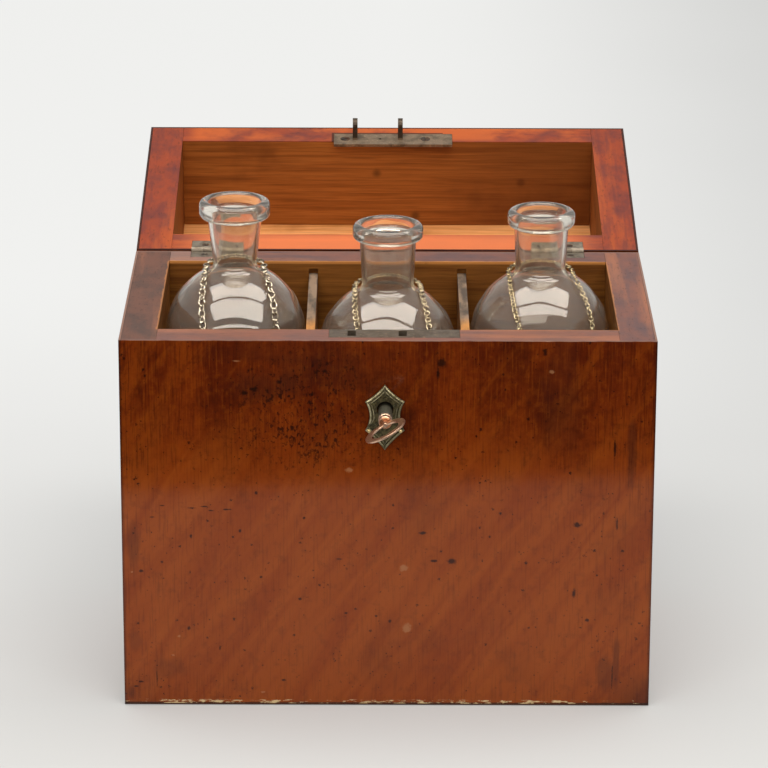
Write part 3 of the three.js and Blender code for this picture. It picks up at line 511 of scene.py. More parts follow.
# The veneer is darker towards the foot at both ends, the right more than the left.
darker_right_foot = front_x.rise(darker_corner_starts, case_high.x)
darker_left_foot = 0.35 * front_x.rise(-darker_corner_starts, case_low.x)
darker_foot_corners = front_z.rise(darker_foot_height, 0.0) * (darker_right_foot + darker_left_foot)
smudge_noise = 1.6 * (front_place.noise(90, (1, 1, 0.6), detail=5, seed=12) - 0.5)
front_colour = bare_colour.under(
    (veneer_dark, 0.6 * darker_foot_corners),
    *[(smudge_brown, share * mark(front_place, *facts, smudge_noise)) for *facts, share in smudges],
    (veneer_spot, darkness),
    (scuff_pale, paleness),
    (chip_dark, 0.85 * foot_worn),
    (chip_pale, foot_pale),
    (veneer_spot, 0.6 * side_edge),
    (edge_worn, top_worn),
)
front_roughness = bare_roughness + 0.25 * darkness.at_least(foot_worn)
wax(front_place, front_colour, front_roughness, bare_height - 1.5 * foot_worn, 0.52 - 0.42 * around_lock)
dress("front_veneer", front_material)

for node_name, seed in (("back_veneer", 11), ("left_veneer", 21), ("right_veneer", 31)):
    material, place, colour, roughness, height = mahogany(node_name + " mahogany", seed)
    place_z = place.axes()[2]
    foot = place.noise(420, (0.35, 0.35, 1), seed=seed)
    worn = (place_z - foot_ragged * foot).rise(0.0026, 0.0014)
    chips = foot.rise(0.55, 0.6) * place.noise(40, detail=2, seed=seed).rise(0.48, 0.56)
    colour = colour.under(
        (veneer_spot, 0.75 * spots(place, 0.2, 190, seed, 0.54)),
        (chip_dark, 0.85 * worn),
        (chip_pale, worn * chips),
        (edge_worn, 0.7 * (place_z + 0.0012 * foot).rise(rim_z - 0.0004, rim_z + 0.0002)),
    )
    wax(place, colour, roughness, height)
    dress(node_name, material)

# The case's walls are pine boards. Inside they are bare wood, darkened with age and dirt; on
# top the rim is stained to match the veneer and worn grey by the lid.
pine_shades = (tint("#8a5520"), tint("#6b3b12"), tint("#351a05"))
pine_knot = tint("#2b1406")
rim_stain = tint("#7a5145")
rim_grey = tint("#5c4847")
rim_rubbed = tint("#a56a4c")
rim_pale = tint("#a18374")
left_rim_stain = tint("#6a483b")
left_rim_grey = tint("#4f3d36")
rim_split = tint("#c98443")
split_shares = {"back_board": 0.95, "front_board": 0.2}
other_split_share = 0.45
stain_starts = 0.0006
stain_full = 0.0002
pale_corner_x = (-0.085, -0.1)
split_breadth = (0.0027, 0.0019)
split_ragged = 0.003
split_depth = 0.002
inner_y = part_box("back_board")[0].y
inner_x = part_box("right_board")[0].x
case_boards = [
    # node, the axis that its grain runs along, seed
    ("front_board", "x", 41), ("back_board", "x", 43), ("left_board", "y", 45),
    ("right_board", "y", 47), ("bottom_board", "x", 49),
]


def stretched(along, share):
    """How a pattern shrinks along a board's grain, and not across it."""
    return [share if axis == along else 1 for axis in "xyz"]


def pine(name, along, seed, shades, moved=None):
    """Bare pine with its grain along x, y or z, in three shades from light to dark."""
    material, place = new_finish(name, moved)
    light, mid, dark = shades
    rings = place.noise(420, stretched(along, 0.03), detail=5, seed=seed, distortion=0.12)
    fine = place.noise(1300, stretched(along, 0.03), detail=3, seed=seed + 1)
    dirt = place.noise(22, seed=seed + 2)
    knots = place.dots(26, seed).rise(0.11, 0.02)
    colour = rings.rise(0.3, 0.7).between(light, mid).under(
        (dark, 0.2 * rings.rise(0.52, 0.72)),
        (dark, 0.35 * fine.rise(0.46, 0.68)),
        (dark, 0.6 * dirt.rise(0.48, 0.74)),
        (pine_knot, 0.55 * knots),
    )
    return material, place, colour, 0.62 + 0.15 * dirt, 0.5 * rings + 0.5 * fine


def stained_rim(place, along, seed, stain, grey, rubbed):
    """The colour of a rim: stain with grey and purple patches, and rubbed streaks."""
    patches = place.noise(60, stretched(along, 0.6), detail=6, seed=seed + 6, roughness=0.7)
    scuffs = place.noise(90, stretched(along, 0.08), seed=seed + 7)
    scratches = place.noise(700, stretched(along, 0.3), detail=3, seed=seed + 8)
    streaks = place.noise(380, stretched(along, 0.08), seed=seed + 5)
    return patches.rise(0.36, 0.7).between(stain, grey).under(
        (rubbed, 0.6 * scuffs.rise(0.48, 0.72)),
        (pine_knot, 0.4 * scratches.rise(0.6, 0.68)),
        (grey, 0.5 * streaks.rise(0.5, 0.7)),
    )


def board(node_name, material, place, colour, roughness, height, on_rim):
    """Ends a board's material, which shines a little more on its rim."""
    coat(place, colour, roughness - 0.12 * on_rim, height, relief=0.00012, Specular_IOR_Level=0.25)
    dress(node_name, material)


for node_name, along, seed in case_boards:
    material, place, colour, roughness, height = pine(node_name + " pine", along, seed, pine_shades)
    place_x, place_y, place_z = place.axes()
    stains = (left_rim_stain, left_rim_grey) if node_name == "left_board" else (rim_stain, rim_grey)
    rim_colour = stained_rim(place, along, seed, *stains, rim_rubbed)
    if node_name == "back_board":
        rim_colour = rim_colour.under((rim_pale, 0.35 * place_x.rise(*pale_corner_x)))
    if node_name == "front_board":
        rim_colour = rim_colour.under((rim_rubbed, 0.15))
    on_rim = place_z.rise(rim_z - stain_starts, rim_z - stain_full)
    edge_noise = place.noise(210, (0.5, 0.5, 1), seed=seed)
    from_hollow = (place_y.size() - inner_y).at_least(place_x.size() - inner_x)
    near_top = place_z.rise(rim_z - split_depth, rim_z - split_depth / 2)
    split = (from_hollow + split_ragged * edge_noise).rise(*split_breadth) * near_top
    colour = colour.under(
        (rim_colour, on_rim),
        (rim_split, split_shares.get(node_name, other_split_share) * split),
    )
    board(node_name, material, place, colour, roughness, height, on_rim)

# Two thin pine boards stand in grooves and part the inside in three. Their tops have been
# planed or broken back below the rim and show paler wood.
divider_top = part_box("divider_left")[1].z
divider_pale = tint("#88705a")
divider_brown = tint("#4c4036")
divider_fresh = tint("#c58440")
fresh_break_y = (-0.006, -0.026)

for node_name, seed in (("divider_left", 51), ("divider_right", 53)):
    material, place, colour, roughness, height = pine(node_name + " pine", "y", seed, pine_shades)
    _, place_y, place_z = place.axes()
    bare = place.noise(120, (1, 0.3, 1), seed=seed)
    fresh = 0.9 * (place_y + 0.02 * bare).rise(*fresh_break_y) * bare.rise(0.78, 0.5)
    top_colour = bare.rise(0.42, 0.6).between(divider_pale, divider_brown).under((divider_fresh, fresh))
    colour = colour.under((top_colour, place_z.rise(divider_top - 0.0012, divider_top - 0.0004)))
    coat(place, colour, roughness, height, relief=0.00015)
    dress(node_name, material)

# The lid is made like the case: pine walls and top under veneer. It lies open on its hinges,
# and its patterns are laid out as if it were shut. Its rim keeps a redder, fresher stain.
hinge = next(joint for joint in frame["joints"] if joint["name"] == "lid_hinge")
hinge_axis = Vector(hinge["pos_m"])
open_turn = Matrix.Rotation(-radians(hinge["range_deg"][0]), 3, "X")
lid_rim_z = 0.2194
lid_shades = (tint("#a66228"), tint("#894c1b"), tint("#5b2e10"))
lid_mid, lid_dark = lid_shades[1:]
lid_top_shades = (tint("#f2ab6c"), tint("#de9350"), lid_mid)
lid_rim_stain = tint("#8b3b20")
lid_rim_purple = tint("#5f2d28")
lid_rim_orange = tint("#bf5c25")
lid_rim_bright = tint("#dd7845")
recess_painted_shadow = tint("#2a1208")
near_hinge_y = (0.055, 0.075)
near_hinge_x = (0.132, 0.1)
far_strip_y = (-0.064, -0.072)
far_strip_x = (0.128, 0.118)
recess_y = (-0.0795, -0.0788)
recess_x = (0.0356, 0.0348)
lid_boards = [
    ("lid_front_board", "x", 61), ("lid_back_board", "x", 63), ("lid_left_board", "y", 65),
    ("lid_right_board", "y", 67), ("lid_top_board", "x", 69),
]
lid_veneers = [
    ("lid_front_veneer", 71), ("lid_back_veneer", 73), ("lid_left_veneer", 75),
    ("lid_right_veneer", 77), ("lid_top_veneer", 79),
]


def shut_place(place):
    """A point of the open lid, moved to where it would be with the lid shut."""
    back = hinge_axis - open_turn @ hinge_axis
    return place.placed(location=back, rotation=open_turn.to_euler())


for node_name, along, seed in lid_boards:
    shades = lid_top_shades if node_name == "lid_top_board" else lid_shades
    material, place, colour, roughness, height = pine(node_name + " pine", along, seed, shades, shut_place)
    place_x, place_y, place_z = place.axes()
    near_hinge = place_y.rise(*near_hinge_y) * place_x.size().rise(*near_hinge_x)
    far_strip = place_y.rise(*far_strip_y) * place_x.size().rise(*far_strip_x)
    rim_colour = stained_rim(place, along, seed, lid_rim_stain, lid_rim_purple, lid_rim_orange).under(
        (lid_rim_bright, 0.75 * near_hinge),
        (lid_rim_orange, 0.75 * far_strip * place.noise(25, seed=5).rise(0.38, 0.55)),
    )
    if node_name == "lid_front_board":
        # A painted shadow darkens the rim in the link plate's recess, round the plate.
        in_recess = place_y.rise(*recess_y) * place_x.size().rise(*recess_x)
        rim_colour = rim_colour.under((recess_painted_shadow, 0.85 * in_recess))
        colour = colour.under((lid_dark, 0.5 * place_x.rise(0.0, 0.1)))
    if node_name in ("lid_left_board", "lid_right_board"):
        colour = colour.under((lid_dark, 0.4))
    on_rim = place_z.rise(lid_rim_z + stain_starts, lid_rim_z + stain_full)
    board(node_name, material, place, colour.under((rim_colour, on_rim)), roughness, height, on_rim)

for node_name, seed in lid_veneers:
    material, place, colour, roughness, height = mahogany(node_name + " mahogany", seed, shut_place)
    on_rim = place.axes()[2].rise(lid_rim_z + stain_starts, lid_rim_z + stain_full)
    colour = colour.under(
        (veneer_spot, 0.75 * spots(place, 0.2, 190, seed, 0.54)),
        (veneer_spot, 0.7 * on_rim),
    )
    wax(place, colour, roughness, height)
    dress(node_name, material)

# The lock plate in the rim, the plate with the two links in the lid, the butt hinges and the
# lock's works are brass, long tarnished to brown and grey-green, with brighter rubbed places.
link_brass = tint("#85705a")
hinge_brass = tint("#84796a")
works_brass = tint("#9a7c46")
selvage_brass = tint("#6f6153")
brass_dark = tint("#4d3f30")
brass_bright = tint("#b89a78")
brass_green = tint("#6f6f58")
hinge_green = tint("#5f6a55")
link_dark = tint("#2c231b")
link_foot_z = (lid_rim_z - 0.0008, lid_rim_z - 0.0014)


def old_brass(node_name, seed, body, green=brass_green, moved=None):
    """Dresses a node in tarnished brass. The links stand out of their plate and are darker."""
    material, place = new_finish(node_name + " brass", moved)
    clouds = place.noise(160, seed=seed)
    grain = place.noise(900, detail=3, seed=seed + 1)
    pitting = place.noise(520, seed=seed + 2)
    colour = (0.7 * clouds.rise(0.42, 0.66)).between(body, brass_dark).under(
        (brass_bright, 0.4 * pitting.rise(0.56, 0.7)),
        (green, 0.35 * grain.rise(0.52, 0.7)),
    )
    if node_name == "link_plate":
        colour = colour.under((link_dark, 0.8 * place.axes()[2].rise(*link_foot_z)))
    coat(place, colour, 0.42 + 0.2 * grain, grain + pitting, relief=0.00006, Metallic=0.55)
    dress(node_name, material)


old_brass("lock_plate", 81, selvage_brass)
old_brass("lock_cap", 81, works_brass)
old_brass("lock_bolt", 81, works_brass)
old_brass("link_plate", 83, link_brass, moved=shut_place)
for side, green in (("left", brass_green), ("right", hinge_green)):
    old_brass(f"body_hinge_{side}", 85, hinge_brass, green)
    old_brass(f"lid_hinge_{side}", 85, hinge_brass, green, shut_place)

# The hinge pins, the lock's spring and its drill pin are iron wire and strip, dark with age.
# They share one finish with the screws.
iron_dark = tint("#3f3831")
iron_rust = tint("#5b3c28")

iron, iron_place = new_finish("old iron")
rust = iron_place.noise(260, seed=91)
iron_colour = rust.rise(0.42, 0.64).between(iron_dark, iron_rust)
coat(iron_place, iron_colour, 0.45 + 0.25 * rust, rust, relief=0.00005, Metallic=0.6)
for node_name in ("hinge_pin_left", "hinge_pin_right", "lock_spring", "lock_pin"):
    dress(node_name, iron)

# Every plate and hinge leaf is held by countersunk iron screws with a sawn slot, flush with
# the metal around them. Each screw has its slot turned its own way.
screw_sides = 28
screw_shank_radius = 0.00115
screw_slot_width = 0.0006
screw_slot_depth = 0.0006
screw_tip_share = 0.25
slot_length_share = 2.4
first_slot_turn = 0.5
next_slot_turn = 0.9
head_face_within = 1e-5


class Repeat:
    """A Geometry Nodes tree that repeats a piece at points, from named sizes."""

    def __init__(self, name, *size_names):
        self.tree = bpy.data.node_groups.new(name, "GeometryNodeTree")
        sockets = self.tree.interface
        sockets.new_socket("Geometry", in_out="INPUT", socket_type="NodeSocketGeometry")
        sockets.new_socket("Geometry", in_out="OUTPUT", socket_type="NodeSocketGeometry")
        for size_name in size_names:
            sockets.new_socket(size_name, in_out="INPUT", socket_type="NodeSocketFloat")
        self.points, *self.sizes = list(self.tree.nodes.new("NodeGroupInput").outputs)[:1 + len(size_names)]

    def add(self, kind, inputs=None, **settings):
        """A new node's first output. An input takes a value, a socket or a list of sockets."""
        made = self.tree.nodes.new(kind)
        for name, value in settings.items():
            setattr(made, name, value)
        for name, value in (inputs or {}).items():
            for each in value if isinstance(value, list) else [value]:
                if isinstance(each, bpy.types.NodeSocket):
                    self.tree.links.new(each, made.inputs[name])
                else:
                    made.inputs[name].default_value = each
        return made.outputs[0] if made.outputs else None

    def sum(self, operation, *values):
        return self.add("ShaderNodeMath", dict(enumerate(values)), operation=operation)

    def vector(self, **axes):
        return self.add("ShaderNodeCombineXYZ", axes)

    def carried(self, name, data_type):
        """What the points carry under a name."""
        return self.add("GeometryNodeInputNamedAttribute", {"Name": name}, data_type=data_type)

    def turned(self, rotation, **axes):
        """A rotation, turned on about its own axes."""
        inputs = {"Rotation": rotation, "Rotate By": self.vector(**axes)}
        return self.add("FunctionNodeRotateRotation", inputs, rotation_space="LOCAL")

    def end(self, points, piece, rotation, material):
        """Puts the piece on the points, and makes one dressed mesh of them all."""
        all_pieces = self.add("GeometryNodeInstanceOnPoints", {
            "Points": points, "Instance": piece, "Rotation": rotation})
        real = self.add("GeometryNodeRealizeInstances", {"Geometry": all_pieces})
        painted = self.add("GeometryNodeSetMaterial", {"Geometry": real, "Material": material})
        self.add("NodeGroupOutput", {0: painted})

    def run(self, name, points, sizes):
        """The tree's result on a mesh of points, as a plain mesh object. The points go."""
        modifier = points.modifiers.new(name, "NODES")
        modifier.node_group = self.tree
        for item in self.tree.interface.items_tree:
            if item.in_out == "INPUT" and item.name in sizes:
                modifier[item.identifier] = sizes[item.name]
        bpy.context.view_layer.update()
        evaluated = points.evaluated_get(bpy.context.evaluated_depsgraph_get())
        mesh = bpy.data.meshes.new_from_object(evaluated)
        points.modifiers.remove(modifier)
        bpy.data.objects.remove(points)
        made = bpy.data.objects.new(name, mesh)
        bpy.context.scene.collection.objects.link(made)
        return made


def bare_points(name, points, edges=(), **carried):
    """A mesh of points alone. Each one carries a vector or a number under each name."""
    made = plain_mesh(name, [], [])
    made.data.from_pydata(points, edges, [])
    for carried_name, values in carried.items():
        kind, field = ("FLOAT_VECTOR", "vector") if isinstance(values[0], Vector) else ("FLOAT", "value")
        attribute = made.data.attributes.new(carried_name, kind, "POINT")
        for each, value in zip(attribute.data, values):
            setattr(each, field, value)
    return made


def fit(made, body_name, slot_name, *replaced):
    """Puts a finished mesh on its body, in the place of CAD nodes."""
    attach(made, body_name)
    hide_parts(*replaced)


screw_tree = Repeat("slotted screws", "Head Radius", "Shank Radius", "Length", "Slot Width", "Slot Depth")
head_radius, shank_radius, screw_length, slot_width, slot_depth = screw_tree.sizes


def screw_part(top_radius, foot_radius, length, foot_depth):
    """A round taper, with its foot at a depth below the head's face."""
    taper = screw_tree.add("GeometryNodeMeshCone", {
        "Vertices": screw_sides, "Radius Top": top_radius, "Radius Bottom": foot_radius, "Depth": length})
    down = screw_tree.vector(Z=screw_tree.sum("MULTIPLY", foot_depth, -1))
    return screw_tree.add("GeometryNodeTransform", {"Geometry": taper, "Translation": down})


head_depth = screw_tree.sum("SUBTRACT", head_radius, shank_radius)
shank_length = screw_tree.sum("SUBTRACT", screw_length, head_depth)
tip_radius = screw_tree.sum("MULTIPLY", shank_radius, screw_tip_share)
slot_size = screw_tree.vector(
    X=screw_tree.sum("MULTIPLY", head_radius, slot_length_share),
    Y=slot_width,
    Z=screw_tree.sum("MULTIPLY", slot_depth, 2),
)
screw_parts = [
    screw_part(head_radius, shank_radius, head_depth, head_depth),
    screw_part(shank_radius, tip_radius, shank_length, screw_length),
]
whole = screw_tree.add(
    "GeometryNodeMeshBoolean", {"Mesh 2": screw_parts}, operation="UNION", solver="EXACT")
slot_cutter = screw_tree.add("GeometryNodeMeshCube", {"Size": slot_size})
slotted = screw_tree.add("GeometryNodeMeshBoolean", {
    "Mesh 1": whole, "Mesh 2": slot_cutter}, operation="DIFFERENCE", solver="EXACT")
facing = screw_tree.add("FunctionNodeAlignRotationToVector", {
    "Vector": screw_tree.carried("outward", "FLOAT_VECTOR")}, axis="Z")
slot_turned = screw_tree.turned(facing, Z=screw_tree.carried("slot_turn", "FLOAT"))
screw_tree.end(screw_tree.points, slotted, slot_turned, iron)


def screw_place(node_name):
    """Where a screw's head lies, which way it faces, its head's radius and its length."""
    points = [v.co for v in nodes[node_name].data.vertices]
    middle = sum(points, Vector()) / len(points)
    if node_name.startswith("lock_"):
        axis = Vector((0, 1, 0))
    elif node_name.startswith("body_"):
        axis = Vector((0, 0, 1))
    else:
        axis = open_turn.transposed() @ Vector((0, 0, -1))
    along = [(p - middle).dot(axis) for p in points]
    length = max(along) - min(along)
    head_middle = points[along.index(min(along))] + axis * length
    head_edge = [p for p, a in zip(points, along) if a > max(along) - head_face_within]
    return head_middle, axis, max((p - head_middle).length for p in head_edge), length


screw_names = sorted(name for name in nodes if "screw" in name)
for body_name, kind in (("case", "lock"), ("case", "hinge"), ("lid", "hinge"), ("lid", "link")):
    chosen = [name for name in screw_names if nodes[name]["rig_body"] == body_name and kind in name]
    middles, axes, radii, lengths = zip(*[screw_place(name) for name in chosen])
    slot_turns = [first_slot_turn + next_slot_turn * i for i in range(len(chosen))]
    points = bare_points(f"{body_name}_{kind}_screw_places", middles, outward=axes, slot_turn=slot_turns)
    screws = screw_tree.run(f"{body_name}_{kind}_screws", points, {
        "Head Radius": radii[0],
        "Shank Radius": screw_shank_radius,
        "Length": lengths[0],
        "Slot Width": screw_slot_width,
        "Slot Depth": screw_slot_depth,
    })
    fit(screws, body_name, "steel", *chosen)

# The escutcheon is a small cast brass shield with six points and two raised borders, nearly
# black with age, with painted highlights along its borders and on the casting's high points.
# Two brass pins hold it over the keyhole.
shield_low, shield_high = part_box("escutcheon")
shield_middle = (shield_low.x + shield_high.x) / 2
shield_half = (shield_high.x - shield_low.x) / 2
shield_tall = shield_high.z - shield_low.z
shield_thick = shield_high.y - shield_low.y
waist_share = 8.6 / 11.1
shield_side_shares = [
    # where each side bends and ends, across from the middle and down from the top
    ((0.42, 0.16), (1, 0.26)),
    ((2 * waist_share - 1, 0.48), (1, 0.7)),
    ((0.42, 0.83), (0, 1)),
]
side_steps = 14
border_steps = [
    # how far in from the outline in millimetres, and how high above the back as a share
    (0.0, 0.0), (0.0, 0.55), (0.35, 0.85), (0.75, 1.0), (1.15, 0.9), (1.5, 0.5), (1.9, 0.55),
    (2.2, 0.8), (2.55, 0.8), (2.9, 0.5),
]
key_joint = next(joint for joint in frame["joints"] if joint["name"] == "key_turn")
key_line = Vector(key_joint["pos_m"])
keyhole_middle = Vector((key_line.x, key_line.z))
keyhole_radius = 0.0047
keyhole_slot_half = 0.0017
keyhole_reach = 0.0109
least_breadth_share = 0.6
shield_brown = tint("#5d5236")
shield_black = tint("#2b2518")
border_highlight = tint("#c9bd96")
crust_green = tint("#6b6a44")
cast_highlight = tint("#8d8360")
pin_bright = tint("#d8c08a")
pin_dull = tint("#77603a")


def shield_outline():
    """The right half from the top point to the foot, then the left half back up."""
    points = []
    start = (0, 0)
    for bend, end in shield_side_shares:
        for i in range(side_steps):
            t = i / side_steps
            points.append(tuple(
                (1 - t) ** 2 * start[k] + 2 * t * (1 - t) * bend[k] + t * t * end[k] for k in (0, 1)))
        start = end
    points += [(0, 1)] + [(-x, drop) for x, drop in reversed(points[1:])]
    return [
        Vector((shield_middle + x * shield_half, shield_high.z - drop * shield_tall))
        for x, drop in points
    ]


def inset(outline, distance):
    """The outline drawn in towards the keyhole, by the same breadth all round."""
    moved = []
    for i, point in enumerate(outline):
        along = (outline[(i + 1) % len(outline)] - outline[i - 1]).normalized()
        inward = (keyhole_middle - point).normalized()
        breadth = abs(along.x * inward.y - along.y * inward.x)
        moved.append(point + inward * distance / max(breadth, least_breadth_share))
    return moved


def keyhole_point(direction):
    """Where a line from the keyhole's middle in this direction meets the hole's edge."""
    slot_top = sqrt(keyhole_radius ** 2 - keyhole_slot_half ** 2)
    across, down = abs(direction.x), -direction.y
    if down > 0 and across * keyhole_reach < keyhole_slot_half * down:
        return direction * (keyhole_reach / down)
    if down > 0 and across * slot_top < keyhole_slot_half * down:
        return direction * (keyhole_slot_half / across)
    return direction.normalized() * keyhole_radius


def net(rows, around, closed=False):
    """Faces between rows of as many points; closed joins the last row to the first."""
    return [
        (row * around + i, row * around + (i + 1) % around,
         (row + 1) % rows * around + (i + 1) % around, (row + 1) % rows * around + i)
        for row in range(rows if closed else rows - 1) for i in range(around)
    ]


outline = shield_outline()
shield_rings = [(inset(outline, distance * millimetre), share) for distance, share in border_steps]
field_ring, field_share = shield_rings[-1]
hole_ring = [keyhole_middle + keyhole_point(p - keyhole_middle) for p in field_ring]
shield_rings += [(hole_ring, field_share), (hole_ring, 0.0)]
shield_points = [
    Vector((p.x, shield_high.y - share * shield_thick, p.y))
    for ring_points, share in shield_rings for p in ring_points
]
shield = plain_mesh("escutcheon_shield", shield_points, net(len(shield_rings), len(outline), closed=True))

shield_material, shield_place = new_finish("escutcheon brass")
shield_x, shield_y, shield_z = shield_place.axes()
proud = shield_y.rise(shield_high.y - 0.62 * shield_thick, shield_high.y - 0.82 * shield_thick)
cast = shield_place.noise(420, seed=95)
crust = shield_place.noise(1100, detail=3, seed=96)
# Painted highlights: along the raised borders, strongest to the upper left, and on high points.
lit = 0.36 + 0.64 * (shield_z - 1.6 * shield_x).rise(key_line.z - 0.01, key_line.z + 0.012)
shield_colour = cast.rise(0.4, 0.62).between(shield_brown, shield_black).under(
    (border_highlight, proud * cast.rise(0.3, 0.6) * lit),
    (crust_green, 0.5 * crust.rise(0.52, 0.66)),
    (cast_highlight, 0.45 * cast.rise(0.56, 0.7)),
)
coat(shield_place, shield_colour, 0.32 + 0.2 * crust, crust + cast, relief=0.00025, Metallic=0.7)
shield.data.materials.append(shield_material)
fit(shield, "case", "brass", "escutcheon")

pin_material, pin_place = new_finish("bright pin")
pin_dirt = pin_place.noise(900, detail=3, seed=97)
coat(pin_place, pin_dirt.rise(0.5, 0.66).between(pin_bright, pin_dull), 0.3 + 0.2 * pin_dirt, Metallic=0.8)
dress("escutcheon_pin_left", pin_material)
dress("escutcheon_pin_right", pin_material)

# The key is a pipe key. Its barrel is dull and dark, and the ringed collar and the round bow
# are polished bright and a little pink where fingers hold them. Shade is painted into the
# collar's groove, and a shadow onto the barrel where it goes into the keyhole.
key_low, key_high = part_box("key")
key_turned = radians(28)
key_sides = 40
barrel_radius = 0.0039
barrel_end = key_high.y
bore_radius = 0.0021
bore_depth = 0.018
collar_start = front_y - 0.0186
collar_length = 0.00615
collar_radius = 0.0041
collar_shares = [
    # how far along the collar, and the radius there
    (0.02, 0.84), (0.04, 0.9), (0.12, 0.9), (0.16, 0.84), (0.18, 0.68), (0.22, 0.6),
    (0.42, 0.6), (0.47, 0.7), (0.5, 0.84), (0.55, 0.9), (0.72, 0.9), (0.8, 0.84),
    (0.84, 0.74), (0.86, 0.42), (1.1, 0.38), (1.5, 0.36), (1.62, 0.26), (1.64, 0),
]
bow_radius = 0.01225
bow_band = 0.0037
bow_line_radius = bow_radius - bow_band / 2
bow_face_reach = (0.00183, 0.0016)
bow_thickness = 0.0013
bow_squareness = 0.45
bow_steps = 72
bow_sides = 16
bow_middle = Vector((key_line.x, key_low.y + bow_radius, key_line.z))
bit_reach = 0.0095
bit_half = 0.0012
bit_wide = 0.0046
barrel_grey = tint("#7c7e70")
handled_pink = tint("#dcb79c")
bow_face_brown = tint("#b98a66")
collar_brown = tint("#a4683f")
groove_painted_shade = tint("#2a1f16")
keyhole_painted_shadow = tint("#0d0b09")
key_grime = tint("#5a4334")


def lathe(rows, sides):
    """A shape turned about the key's line; rows are (radius, y)."""
    points = []
    for radius, y in rows:
        for i in range(sides):
            angle = 2 * pi * i / sides
            points.append(Vector((key_line.x + radius * cos(angle), y, key_line.z + radius * sin(angle))))
    return points, net(len(rows), sides)


def squared(share):
    """A circle's sine or cosine, drawn out towards a square's."""
    return copysign(abs(share) ** bow_squareness, share)


def bow():
    """A ring of squarish oval section that lies in the plane of the bit."""
    points = []
    for i in range(bow_steps):
        turn = 2 * pi * i / bow_steps
        for k in range(bow_sides):
            angle = 2 * pi * k / bow_sides
            out = bow_line_radius + bow_band / 2 * squared(cos(angle))
            up = bow_thickness / 2 * squared(sin(angle))
            points.append(bow_middle + Vector((out * cos(turn), out * sin(turn), up)))
    return points, net(bow_steps, bow_sides, closed=True)


def bit():
    """A plain block on the side of the barrel's end."""
    corners = [
        Vector((key_line.x + x, y, key_line.z + z))
        for x in (0.9 * barrel_radius, bit_reach)
        for y in (barrel_end - bit_wide, barrel_end)
        for z in (-bit_half, bit_half)
    ]
    return corners, [(0, 1, 3, 2), (4, 6, 7, 5), (0, 4, 5, 1), (2, 3, 7, 6), (0, 2, 6, 4), (1, 5, 7, 3)]


def smooth(made, sharp_from=None):
    """Smooth shading. Edges sharper than sharp_from, if it is given, stay as corners."""
    for polygon in made.data.polygons:
        polygon.use_smooth = True
    if sharp_from:
        made.data.set_sharp_from_angle(angle=sharp_from)


stem_rows = [
    (0, barrel_end - bore_depth),
    (bore_radius, barrel_end - bore_depth),
    (bore_radius, barrel_end),
    (barrel_radius, barrel_end),
    (barrel_radius, collar_start),
] + [(share * collar_radius, collar_start - along * collar_length) for along, share in collar_shares]
key_spin = (
    Matrix.Translation(key_line)
    @ Matrix.Rotation(-key_turned, 4, "Y")
    @ Matrix.Translation(-key_line)
)
key_points, key_faces = [], []
for part_points, part_faces in (lathe(stem_rows, key_sides), bow(), bit()):
    key_faces += [tuple(len(key_points) + i for i in face) for face in part_faces]
    key_points += [key_spin @ p for p in part_points]
key = plain_mesh("pipe_key", key_points, key_faces)
smooth(key, radians(35))

key_material, key_place = new_finish("key metal")
key_y = key_place.axes()[1]
grime = key_place.noise(520, seed=98)
handled = key_y.rise(collar_start + 0.001, collar_start - 0.001)
bow_face = (key_place.distance(tuple(bow_middle)) - bow_line_radius).size().rise(*bow_face_reach)
from_line = key_place.placed(location=(-key_line.x, 0, -key_line.z), scale=(1, 0, 1)).distance()
bow_end = bow_middle.y + bow_radius
in_collar = key_y.rise(collar_start + 0.0001, collar_start - 0.0001) * key_y.rise(bow_end - 0.0002, bow_end)
off_rim = from_line.rise(0.86 * collar_radius, 0.78 * collar_radius) * in_collar
behind_ring = key_y.rise(collar_start - 0.6 * collar_length, collar_start - 0.5 * collar_length)
key_colour = handled.between(barrel_grey, handled_pink).under(
    (bow_face_brown, 0.85 * bow_face * handled),
    (collar_brown, 0.85 * off_rim),
    # Painted shade in the collar's groove, and a painted shadow on the barrel inside the keyhole.
    (groove_painted_shade, 0.9 * off_rim * behind_ring),
    (keyhole_painted_shadow, 0.9 * key_y.rise(front_y - 0.0065, front_y - 0.0032)),
    (key_grime, 0.45 * grime.rise(0.5, 0.68)),
)
coat(key_place, key_colour, 0.42 - 0.2 * handled + 0.15 * grime, grime, relief=0.00004, Metallic=0.85)
key.data.materials.append(key_material)
fit(key, "turning_key", "key_metal", "key")

# Three round bottles of clear blown glass stand loose in the compartments, each with a
# spherical shoulder, a neck that widens upwards and a rolled lip, all a little uneven.
bottle_facts = {
    # shoulder's middle below the rim, neck radius at the top and foot, lip radius and height
    "left": (0.0224, 0.0155, 0.0125, 0.0204, 0.0107),
    "middle": (0.0333, 0.0162, 0.015, 0.0204, 0.0093),
    "right": (0.0242, 0.0155, 0.0145, 0.0194, 0.0098),
}
glass_sides = 96
glass_wall = 0.0019
glass_base = 0.007
punt_height = 0.004
punt_inset = 0.007
heel_radius = 0.004
neck_wall = 0.0021
neck_fillet = 0.0055
under_lip_round = 0.0012
under_lip_drop = 0.0004
lip_wall = 0.0054
lip_round = 0.0034
lip_inside = lip_wall - lip_round
inner_round = 0.0075
shoulder_steps = 40
corner_steps = 8
neck_shares = (0.02, 0.07, 0.2, 0.4, 0.6, 0.8, 0.93, 0.98)
ripples = 430
ripple_height = 0.0002
ripple_start_share = 0.42
ripple_growth_share = 0.3
broad_sway = 1.6
fine_sway = 1.1
own_turn = 90
glass_white = tint("#f8f3e8")
glass_dust = tint("#e6ddd2")
glass_shadow = tint("#e9ece9")


